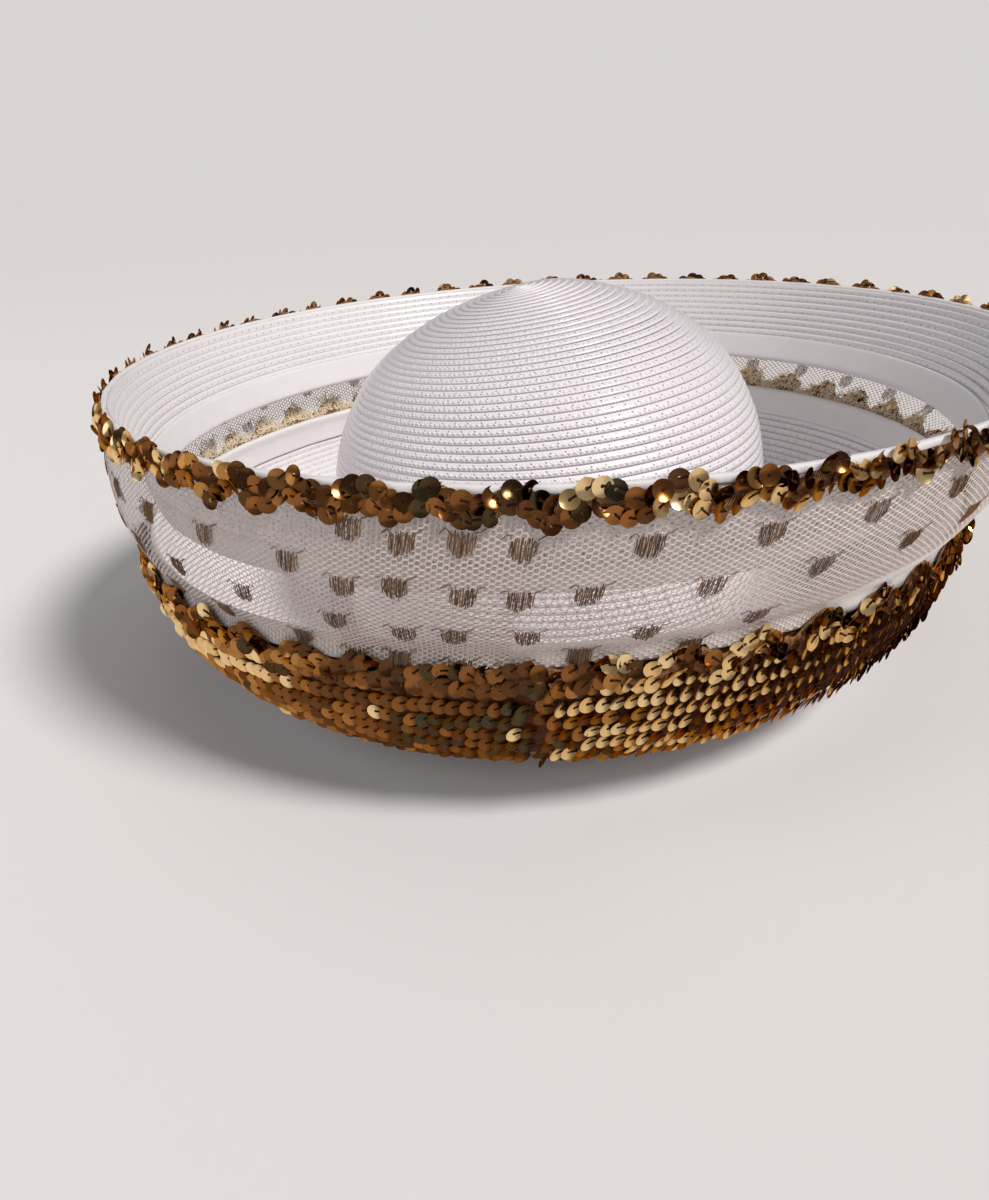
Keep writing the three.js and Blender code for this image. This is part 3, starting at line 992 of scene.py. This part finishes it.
def dot_lines(middle_angle, middle_down):
    """The threads of one dot, as (angle, distance down the net) points."""
    lines_out = []
    for x in np.linspace(-DOT_HALF_WIDTH, DOT_HALF_WIDTH, DOT_THREADS):
        share = abs(x) / (DOT_HALF_WIDTH + DOT_MARGIN)
        top = DOT_TOP - DOT_SHOULDER * share**3 + dot_random.normal(0, TOP_WANDER)
        round_foot = DOT_DEPTH * (1 - share**2.2) ** 0.6
        bottom = -round_foot - DOT_MARGIN + dot_random.normal(0, BOTTOM_WANDER)
        sway = dot_random.normal(0, SWAY, DOT_POINTS)
        across = x + sway + dot_random.normal(0, THREAD_WANDER)
        lines_out.append((across, np.linspace(top, bottom, DOT_POINTS)))
    for tail in DOT_TAILS:
        reach = dot_random.uniform(0.75, 1.15)
        tail = np.array(tail)
        tail = tail[0] + (tail - tail[0]) * reach + dot_random.normal(0, 0.15, tail.shape)
        lines_out.append((tail[:, 0], tail[:, 1]))
    return [(middle_angle + across / NET_RADIUS, middle_down - up) for across, up in lines_out]


# %% All the dots
RAISED_HEM = 3  # a hem that rises by more than this hides the dots under it
dot_threads = []
for row, down in enumerate(DOT_ROWS):
    first = FIRST_DOT + DOT_STEP * (row % 2) / 2 - DOT_STEP
    for number in range(DOTS_IN_ROW):
        middle = first + number * DOT_STEP
        degrees = math.degrees(middle)
        spread = DOT_SPREAD[row] * np.interp(degrees, SPREAD_SHARE[:, 0], SPREAD_SHARE[:, 1])
        askew = middle + math.radians(spread)
        low = down + np.interp(degrees, DOT_SINK[:, 0], DOT_SINK[:, 1])
        if row == len(DOT_ROWS) - 1 and JOIN_ANGLE < degrees < 180:
            low -= LAST_ROW_RAISE
        is_folded_away = low > hem_top(askew) and hem_top(askew) < NET_FOOT - RAISED_HEM
        if NET_START + 0.01 < middle < NET_END - 0.005 and not is_folded_away:
            dot_threads += dot_lines(askew + dot_random.normal(0, 0.002), low + dot_random.normal(0, 0.4))

dot_angle = np.concatenate([line[0] for line in dot_threads])
dot_down = np.clip(np.concatenate([line[1] for line in dot_threads]), 0.5, net_outline.length - 0.2)
dot_lift = DOT_LIFT + np.tile(DOT_BOW, len(dot_threads))
dot_swell = dot_random.uniform(0.65, 1.15, len(dot_angle))
dot_tone = dot_random.choice(DOT_TONES, len(dot_threads))
print("dots:", len(dot_threads) // (DOT_THREADS + len(DOT_TAILS)))


# %% Metal thread
def dot_material():
    """Metal thread, brown or tan thread by thread."""
    material, tree, shader = new_material("dot_thread")
    tone = calc(tree, "MULTIPLY", attribute(tree, "tone"), 0.5)
    patch = calc(tree, "MULTIPLY", noise(tree, read_place(tree), 1500, 2), 0.6)
    set_inputs(tree, shader, {
        "Base Color": mix_colour(
            tree, calc(tree, "ADD", tone, patch), DARK_BROWN_METAL, TAN_METAL),
        "Roughness": 0.5,
        "Metallic": 0.3,
    })
    return material


dots = sweep(
    "net_dots", SWEEP, net_place(dot_angle, dot_down, dot_lift), net_outward(dot_angle, dot_down),
    chain(DOT_POINTS, len(dot_threads)), dot_material(), dot_swell,
    {"tone": np.repeat(dot_tone, DOT_POINTS)}, Width=0.42 * MM, Thickness=0.3 * MM, Sides=4)
dress(dots, "net")

# %% [markdown]
# ## Sequins
# Sequins are thin metal-coated discs with a hole, strung so that each lies on the one before
# and only a bright crescent of it shows, with the stitch across its other half. Each disc is
# also painted with shade towards the side that the next one lies on. One shape of 34 faces
# is placed on thousands of points by a second tree. Each point says which way its disc faces,
# which way the string runs and what tint it has; the mix of tints round the hat is partly
# painted reflection and shade. The tree adds a seeded random tilt and size. The discs are
# slightly cupped, so each catches the light at its own angle, and that is where the sparkle
# comes from.

# %% One sequin
SEQUIN_RADIUS = 2.95
SEQUIN_HOLE = 0.55
SEQUIN_SIDES = 16
SEQUIN_RINGS = ((SEQUIN_HOLE, 0.0), (1.9, 0.09), (SEQUIN_RADIUS, 0.38))  # radius, height
STITCH = ((0.0, 0.02), (1.6, 0.3), (3.1, 0.45))  # distance from the hole, height
STITCH_HALF_WIDTH = 0.32
TUCK_SHADE_FROM_TO = (-0.8, 1.4)  # where painted shade ramps up across the disc, towards the side that the next one lies on
SIZE_SPREAD = 0.05


def sequin_shape():
    """A cupped disc with a hole and the stitch that holds it."""
    angle = np.arange(SEQUIN_SIDES) * 2 * math.pi / SEQUIN_SIDES
    points = []
    for radius, height in SEQUIN_RINGS:
        points += [(radius * math.cos(a), radius * math.sin(a), height) for a in angle]
    faces = []
    for ring in range(len(SEQUIN_RINGS) - 1):
        for side in range(SEQUIN_SIDES):
            after = (side + 1) % SEQUIN_SIDES
            inner = ring * SEQUIN_SIDES
            outer = inner + SEQUIN_SIDES
            faces.append((inner + side, outer + side, outer + after, inner + after))
    disc_points = len(points)
    for reach, height in STITCH:
        points += [(reach, -STITCH_HALF_WIDTH, height), (reach, STITCH_HALF_WIDTH, height)]
    for step in range(len(STITCH) - 1):
        start = disc_points + 2 * step
        faces.append((start, start + 2, start + 3, start + 1))
    mesh = bpy.data.meshes.new("sequin_shape")
    mesh.from_pydata([tuple(value * MM for value in point) for point in points], [], faces)
    stitch_points = len(points) - disc_points
    set_attribute(mesh, "stitch", [0] * disc_points + [1] * stitch_points)
    # painted shade: 0 on the open side of the disc, rising to 1 on the side that the next disc lies on
    tuck_shade = smoothstep(np.array([point[0] for point in points[:disc_points]]), *TUCK_SHADE_FROM_TO)
    set_attribute(mesh, "tuck_shade", [*tuck_shade, *[0] * stitch_points])
    return new_object("sequin_shape", mesh)


# %% The tree that sets sequins on points
def setting_tree():
    """Sets a shape on every point of a mesh, turned to face and run the way the point says."""
    sizes = {"Tilt": "Float", "Size spread": "Float", "Seed": "Int"}
    tree, given, end = new_tree(
        "set_on_points", "GeometryNodeTree",
        {"Geometry": "Geometry", "Shape": "Object", **sizes, "Material": "Material"},
        {"Geometry": "Geometry"})
    shape = add_node(tree, "GeometryNodeObjectInfo", {"Object": given["Shape"]}, "Geometry")
    directions = {
        "Primary Axis": named(tree, "facing", "FLOAT_VECTOR"),
        "Secondary Axis": named(tree, "running", "FLOAT_VECTOR"),
    }
    turned = add_node(
        tree, "FunctionNodeAxesToRotation", directions, primary_axis="Z", secondary_axis="X")
    least_tilt = calc(tree, "MULTIPLY", given["Tilt"], -1)
    tilt = add_node(
        tree, "FunctionNodeRandomValue", {0: least_tilt, 1: given["Tilt"], "Seed": given["Seed"]},
        data_type="FLOAT_VECTOR")
    wobbling = add_node(
        tree, "FunctionNodeRotateRotation", {"Rotation": turned, "Rotate By": tilt},
        rotation_space="LOCAL")
    least = calc(tree, "SUBTRACT", 1, given["Size spread"])
    most = calc(tree, "ADD", 1, given["Size spread"])
    size = add_node(
        tree, "FunctionNodeRandomValue", {2: least, 3: most, "Seed": given["Seed"]}, 1, data_type="FLOAT")
    discs = add_node(tree, "GeometryNodeInstanceOnPoints", {
        "Points": given["Geometry"], "Instance": shape, "Rotation": wobbling, "Scale": size})
    finish_tree(tree, end, discs, given["Material"])
    return tree


SETTING = setting_tree()
SEQUIN = sequin_shape()
print("sequin faces:", len(SEQUIN.data.polygons))

# %% Sequin finish
SEQUIN_EDGE = (0.7, 0.36, 0.14)  # amber
SEQUIN_TONES = (
    (0, (0.98, 0.76, 0.42)), (0.3, (0.88, 0.56, 0.22)), (0.42, (0.55, 0.28, 0.08)),
    (0.6, (0.3, 0.11, 0.026)), (0.76, (0.11, 0.038, 0.012)), (0.88, (0.045, 0.026, 0.012)),
    (0.94, (0.05, 0.052, 0.024)), (1, (0.025, 0.035, 0.028)),
)
FILM_COLOUR = (0.6, 0.34, 0.14)
# painted shade on the side of each disc that the next one lies on
TUCK_SHADE_COLOUR = (0.03, 0.009, 0.003)
STITCH_COLOUR = (0.045, 0.018, 0.01)


def tone_ramp(tree, tint):
    """The colour of a tint, from pale gold at 0 to nearly black at 1."""
    ramp = tree.nodes.new("ShaderNodeValToRGB")
    stops = ramp.color_ramp.elements
    stops[0].position, stops[1].position = 0, 1
    for position, _ in SEQUIN_TONES[1:-1]:
        stops.new(position)
    for stop, (_, colour) in zip(stops, SEQUIN_TONES):
        stop.color = (*colour, 1)
    set_inputs(tree, ramp, {"Fac": tint})
    return ramp.outputs["Color"]


def sequin_material():
    """Metal-coated sequins with dull brown stitches. Each disc has painted shade towards the side
    that the next one lies on, as strong as the overlap that its point carries."""
    material, tree, shader = new_material("sequins")
    tint, stitch, tuck_shade, overlap = (
        attribute(tree, name) for name in ("tint", "stitch", "tuck_shade", "overlap"))
    film = noise(tree, read_place(tree), 700, 2)
    filmed = calc(tree, "MULTIPLY", film, 0.12)
    coated = mix_colour(tree, filmed, tone_ramp(tree, tint), FILM_COLOUR)
    # painted shade towards the next disc, scaled by the overlap
    tuck_shaded = mix_colour(tree, calc(tree, "MULTIPLY", tuck_shade, overlap), coated, TUCK_SHADE_COLOUR)
    dull = calc(tree, "ADD", calc(tree, "MULTIPLY", film, 0.14), calc(tree, "MULTIPLY", stitch, 0.5))
    is_disc = calc(tree, "SUBTRACT", 1, stitch)
    set_inputs(tree, shader, {
        "Base Color": mix_colour(tree, stitch, tuck_shaded, STITCH_COLOUR),
        "Roughness": calc(tree, "ADD", dull, 0.12),
        "Metallic": is_disc,
        "Specular IOR Level": calc(tree, "MULTIPLY", is_disc, 0.5),
        "Specular Tint": SEQUIN_EDGE,
        "Normal": bump(tree, film, 0.15, 0.1 * MM),
    })
    return material


SEQUIN_FINISH = sequin_material()
print("finish:", SEQUIN_FINISH.name)

# %% Tints
# By the angle in degrees round the hat: how many discs in a hundred are pale gold, and
# how much browner the others are than bronze. Beside the discs' own mix of tints, this is
# painted reflection and shade: more pale gold on the front right, where the light falls,
# and fewer pale and browner discs just left of the front seam.
PALE_SHARE = np.array([
    (-180, 50), (-135, 46), (-118, 6), (-93, -12), (-90, 42), (-75, 75), (-40, 78), (-15, 58),
    (20, 45), (90, 50), (180, 50)])
BROWNER = np.array([
    (-180, 0.0), (-135, 0.02), (-114, 0.1), (-92, 0.26), (-88, 0.1), (-70, 0.03), (-30, 0.0),
    (-10, 0.02), (30, 0.03), (90, 0.0), (180, 0.0)])
PALE_TINTS = (0.05, 0.29)
BRONZE_TINTS = (0.4, 0.74)
DARK_TINTS = (0.76, 1.0)
LEVEL_SPREAD = 0.13
DARK_SPREAD = 0.08


def wandering(random, count, stations, spread):
    """A level from 0 to 1 that wanders along a string, with a spread from disc to disc."""
    place = np.linspace(0, stations - 1, count)
    level = np.interp(place, np.arange(stations), random.random(stations))
    return level + random.normal(0, spread, count)


def tint_run(random, angle, dark_share, run_length, bias=0.0):
    """Tints along a string: pale gold, bronze and nearly black discs, in short runs; the tables by angle
    add painted reflection and shade.
    """
    count = len(angle)
    stations = max(int(count / run_length), 2)
    level = wandering(random, count, stations, LEVEL_SPREAD)
    dark_level = wandering(random, count, stations, DARK_SPREAD)
    pale_share = round_table(angle, PALE_SHARE) / 100 + bias
    share = random.random(count)
    pale, bronze, dark = (
        np.interp(share, (0, 1), tints) for tints in (PALE_TINTS, BRONZE_TINTS, DARK_TINTS))
    gold = np.where(level < pale_share, pale, bronze + round_table(angle, BROWNER))
    return np.where(dark_level > 1 - dark_share, dark, gold)


# %% Placing
def set_sequins(name, strings, tilt, seed, overlap):
    """Sets one sequin on each point of some strings, and returns them as one piece."""
    points, facing, running, tint = (np.concatenate(part) for part in zip(*strings))
    # overlap: how strong the painted shade on each disc's covered side is
    overlap = np.full(len(points), overlap)
    mesh = point_mesh(name, points, facing=facing, running=running, tint=tint, overlap=overlap)
    inputs = {
        "Shape": SEQUIN, "Tilt": tilt, "Size spread": SIZE_SPREAD, "Seed": seed,
        "Material": SEQUIN_FINISH}
    return grow(name, mesh, SETTING, **inputs)


def lean_directions(angle, out_r, out_z, lap, tuck):
    """Which way discs face when each laps over the one before by an angle, and each row
    tucks over the row below by another, and which way their string runs."""
    out = in_space(angle, out_r, out_z)
    along = in_space(angle + math.pi / 2, 1.0, 0.0)
    down = np.cross(along, out)
    facing = out + np.tan(lap)[:, None] * along - np.tan(tuck)[:, None] * down
    return facing / np.linalg.norm(facing, axis=1)[:, None], along


# %% Rows of sequins on the dish
SEQUIN_SPACING = 4.3
SEQUIN_ROW_PITCH = 6.85
FIRST_ROW = 12.0
LAST_ROW = 62.0
SEAM_ANGLE = math.radians(-91.5)
BAND_LAP = math.radians(20)
BAND_REST = 0.6  # clearance of the lowest edge of a disc
HANG = 0.5  # share of the wall's slope that the discs take back, to hang upright
DISC_DROOP = math.radians(-2)  # the discs face a little down, as each row rests on the one below
ROW_WAVE = 0.5
ROW_WANDER = 0.2
STEP_WANDER = 0.07  # in steps from disc to disc
LAP_WANDER = 0.09
TUCK_WANDER = 0.07
BAND_DARK_SHARE = 0.1
BAND_RUN = 5  # discs of about the same tint
SEAM_GAP = 0.6  # left open at the seam, in discs
SEAM_FRAY = 0.008  # how unevenly the rows start there, in radians
SEAM_DISCS = 3  # discs on either side that lie loosely
SEAM_WANDER = 1.2
SEAM_LAP_WANDER = 0.4
DARK_RUN_ROW = 3
DARK_RUN_DISCS = 8
BRIGHT_END_ROW = 4
ROW_BIAS = (0.1, 0.05, 0.0, -0.1, -0.25, -0.35, -0.45, -0.5)  # extra share of pale gold, row by row; the lower rows are browner as painted shade

band_random = np.random.default_rng(31)
band_strings = []
for row, down in enumerate(np.arange(FIRST_ROW, LAST_ROW, SEQUIN_ROW_PITCH)):
    radius = float(dish_outline.at(down)[0])
    count = int(2 * math.pi * radius / SEQUIN_SPACING)
    number = np.arange(count)
    step = 2 * math.pi / (count + SEAM_GAP)
    row_start = SEAM_ANGLE + band_random.normal(0, SEAM_FRAY)
    angle = row_start + (number + 0.5 + band_random.normal(0, STEP_WANDER, count)) * step
    wander = ROW_WAVE * np.sin(3 * angle + row) + band_random.normal(0, ROW_WANDER, count)
    near_seam = 1 - smoothstep(np.minimum(number, count - number), 0, SEAM_DISCS)
    distance = down + wander + near_seam * band_random.normal(0, SEAM_WANDER, count)
    out_r, out_z = dish_outline.outward(distance)
    upright = np.maximum(-HANG * np.arctan2(out_z, out_r), 0)
    tuck = upright + DISC_DROOP + band_random.normal(0, TUCK_WANDER, count)
    lap = BAND_LAP + band_random.normal(0, LAP_WANDER, count)
    lap = lap + near_seam * band_random.normal(0, SEAM_LAP_WANDER, count)
    lift = BAND_REST + SEQUIN_RADIUS * np.hypot(np.sin(tuck), np.sin(lap))
    ring_r, ring_z = dish_outline.at(distance, lift)
    facing, running = lean_directions(angle, out_r, out_z, lap, tuck)
    tint = tint_run(band_random, angle, BAND_DARK_SHARE, BAND_RUN, ROW_BIAS[row])
    if row == DARK_RUN_ROW - 1:
        tint[-DARK_RUN_DISCS:] = band_random.uniform(0.86, 1.0, DARK_RUN_DISCS)
    if row == BRIGHT_END_ROW - 1:
        tint[-2] = 0.02
    points = settle(in_space(angle, ring_r, ring_z), BRIM_DRIFT)
    band_strings.append((points, facing, running, tint))

# overlap sets the strength of the painted shade on each disc
sequin_band = set_sequins("dish_sequins", band_strings, tilt=0.05, seed=5, overlap=0.75)
dress(sequin_band, "sequins", "sequin_band")

# %% Tape under the rows
TAPE_FROM_TO = (5.5, 62.5)
TAPE_LIFT = 0.35
TAPE_THICKNESS = 0.3
TAPE_SEGMENTS = 180
TAPE_WANDER = 0.03
# The tape stands for the strings' thread, and its near-black brown is painted shade between the rows of
# discs.
TAPE_SHADE_BROWN = thread_material(
    "sequin_tape", (0.04, 0.011, 0.004), (0.16, 0.05, 0.016), roughness=0.8, twist=1.1, shine=0.1)
tape_path = np.transpose(dish_outline.at(np.linspace(*TAPE_FROM_TO, 26), TAPE_LIFT))
band_tape = turned_ribbon(
    "sequin_tape", ribbon_outline(tape_path, TAPE_THICKNESS, 1), BRIM_DRIFT, TAPE_SEGMENTS, TAPE_WANDER,
    seed=7, material=TAPE_SHADE_BROWN)
dress(band_tape, "sequins")

# %% [markdown]
# ## Wavy trims
# Two narrower strings of sequins run in waves: one under the rim, one where the net meets the
# dish. They are looser than the band, so their discs stand at odd angles, show their faces
# and backs, and some rise past the rim. Each trim is two strings of discs over a narrow tape
# that follows the same wave; the tape is swept, and the discs are set by the same tree.

# %% Waves
# Middle height, waves round the hat, height of a wave, extra height at the back, and how much
# flatter the waves are at the front
RIM_TRIM = {"middle": 128.5, "waves": 56, "wave": 2.2, "tilt": 0.5, "calm": 0.0}
LOWER_TRIM = {"middle": 72.5, "waves": 46, "wave": 3.3, "tilt": 4.8, "calm": 0.8}
FRONT_ANGLE = -97  # where the waves are flattest, in degrees round the hat
CALM_WIDTH = 20
SEQUIN_HEIGHT = 2.0  # how far the band's discs stand off the dish


def skin_radius(height):
    """Radius of what a trim is sewn on, at a height: the net, or the sequins on the dish."""
    drop = WALL_CENTRE[1] - height
    sequin_arc = WALL_ARC + GAP + SEQUIN_HEIGHT
    dish = WALL_CENTRE[0] + np.sqrt(np.maximum(sequin_arc**2 - drop**2, 0))
    table = np.array(NET_ROWS[::-1])
    return np.maximum(dish, np.interp(height, table[:, 1], table[:, 0]))


def trim_height(trim, angle, rise):
    from_front = (np.degrees(angle) - FRONT_ANGLE + 180) % 360 - 180
    wave = trim["wave"] * (1 - trim["calm"] * np.exp(-(from_front / CALM_WIDTH) ** 2))
    return trim["middle"] + rise + wave * np.sin(trim["waves"] * angle) + trim["tilt"] * np.sin(angle)


def even_angles(trim, spacing):
    """Angles that are evenly spaced along the wave, not round the hat."""
    angle = np.linspace(0, 2 * math.pi, 20001)
    height = trim_height(trim, angle, 0)
    steps = np.hypot(np.diff(angle) * skin_radius(height[:-1]), np.diff(height))
    run = np.concatenate([[0], np.cumsum(steps)])
    return np.interp(np.arange(0, run[-1] - spacing / 2, spacing), run, angle)


# %% Two wavy trims
TRIM_LAP = math.radians(15)
TRIM_DARK_SHARE = 0.17
TRIM_BIAS = -0.15
TRIM_RUN = 2.5  # discs of about the same tint
TRIM_RADIUS = 190  # where steps round the hat are turned into angles
ALONG_WANDER = 0.5
UP_WANDER = 0.55
OUT_WANDER = 0.25
TRIM_BROWN = thread_material(
    "trim_tape", (0.1, 0.035, 0.012), (0.42, 0.22, 0.1), roughness=0.7, twist=0.9, shine=0.1)
TRIM_TAPE_LIFT = 0.55
TRIM_TAPE_THICKNESS = 0.6
TAPE_STEPS = 12  # points of the tape in each wave


def wavy_trim(name, node, trim, strings, lift, scatter, seed, tape_width, tape_rise):
    """Strings of loose sequins along a wave, each with a (rise, lean back), over a tape."""
    random = np.random.default_rng(seed)
    placed = []
    for rise, lean_back in strings:
        angle = even_angles(trim, SEQUIN_SPACING)
        count = len(angle)
        angle = angle + random.normal(0, ALONG_WANDER, count) / TRIM_RADIUS
        height = trim_height(trim, angle, rise) + random.normal(0, UP_WANDER, count)
        radius = skin_radius(height) + lift + random.normal(0, OUT_WANDER, count)
        lap = TRIM_LAP + random.normal(0, scatter, count)
        tuck = lean_back + random.normal(0, scatter, count)
        facing, running = lean_directions(angle, 1.0, 0.0, lap, tuck)
        slope = trim["wave"] * trim["waves"] * np.cos(trim["waves"] * angle) / radius
        running = running + slope[:, None] * np.array([0, 0, 1.0])
        points = settle(in_space(angle, radius, height), BRIM_DRIFT)
        tint = tint_run(random, angle, TRIM_DARK_SHARE, TRIM_RUN, TRIM_BIAS)
        placed.append((points, facing, running, tint))
    # overlap sets the strength of the painted shade on each disc
    piece = set_sequins(name, placed, tilt=0.16, seed=seed, overlap=0.4)
    dress(piece, "sequins", node)

    angle = np.linspace(0, 2 * math.pi, trim["waves"] * TAPE_STEPS, endpoint=False)
    height = trim_height(trim, angle, tape_rise)
    points = settle(in_space(angle, skin_radius(height) + TRIM_TAPE_LIFT, height), BRIM_DRIFT)
    half_width = tape_width / 2
    skin_slope = (skin_radius(height + half_width) - skin_radius(height)) / half_width
    tape = sweep(
        node + "_tape", SWEEP, points, in_space(angle, 1.0, -skin_slope), chain(len(angle), closed=True),
        TRIM_BROWN, Width=tape_width * MM, Thickness=TRIM_TAPE_THICKNESS * MM, Sides=8)
    dress(tape, "sequins")


wavy_trim("rim_trim_sequins", "rim_trim", RIM_TRIM, ((2.9, 0.2), (-2.5, -0.05)),
          lift=1.6, scatter=0.24, seed=41, tape_width=7, tape_rise=0)
wavy_trim("lower_trim_sequins", "lower_trim", LOWER_TRIM, ((3.0, -0.05), (-2.4, -0.12)),
          lift=1.5, scatter=0.2, seed=42, tape_width=8, tape_rise=0.6)
bpy.data.objects.remove(SEQUIN)

# %% [markdown]
# ## Loose threads behind the lower trim
# Seen from inside, through the open window and the net, the lower trim shows a fringe of
# beige thread ends where it was sewn down, and not the backs of its discs. They could be
# hair, but hair doesn't export, so each is a short curled path for the sweep tree.

# %% Thread ends
FRINGE_THREADS = 3600
FRINGE_POINTS = 4
FRINGE_RADIUS = 178  # where steps round the hat are turned into angles
FRINGE_RISE = (-1.0, 6.0)  # from the middle of the wave
FRINGE_DEPTH = (-0.5, 0.3)  # from the net's surface
FRINGE_STEP = (0.8, 1.8)
FRINGE_AIM = (-0.4, math.pi + 0.4)  # mostly upwards, in radians from level
FRINGE_CURL = 0.9
fringe_random = np.random.default_rng(57)
start_angle = fringe_random.uniform(0, math.pi, FRINGE_THREADS)  # the back half of the hat
start_rise = fringe_random.uniform(*FRINGE_RISE, FRINGE_THREADS)
start_height = trim_height(LOWER_TRIM, start_angle, start_rise)
fringe_aim = fringe_random.uniform(*FRINGE_AIM, FRINGE_THREADS)
fringe_curl = fringe_random.normal(0, FRINGE_CURL, FRINGE_THREADS)
fringe_step = fringe_random.uniform(*FRINGE_STEP, FRINGE_THREADS)
fringe_angle = [start_angle]
fringe_height = [start_height]
for number in range(FRINGE_POINTS - 1):
    aim = fringe_aim + fringe_curl * number
    fringe_angle.append(fringe_angle[-1] + fringe_step * np.cos(aim) / FRINGE_RADIUS)
    fringe_height.append(fringe_height[-1] + fringe_step * np.sin(aim))
fringe_angle = np.stack(fringe_angle, axis=1).ravel()
fringe_height = np.stack(fringe_height, axis=1).ravel()
fringe_depth = fringe_random.uniform(*FRINGE_DEPTH, len(fringe_height))
fringe_radius = skin_radius(fringe_height) + fringe_depth
FRINGE_BEIGE = thread_material(
    "fringe_thread", (0.96, 0.74, 0.48), (1.0, 0.9, 0.7), roughness=0.7, twist=0.7, shine=0.2)
fringe = sweep(
    "thread_fringe", SWEEP, settle(in_space(fringe_angle, fringe_radius, fringe_height), BRIM_DRIFT),
    in_space(fringe_angle, 1.0, 0.0), chain(FRINGE_POINTS, FRINGE_THREADS), FRINGE_BEIGE,
    Width=0.5 * MM, Thickness=0.3 * MM, Sides=3)
dress(fringe, "sequins")
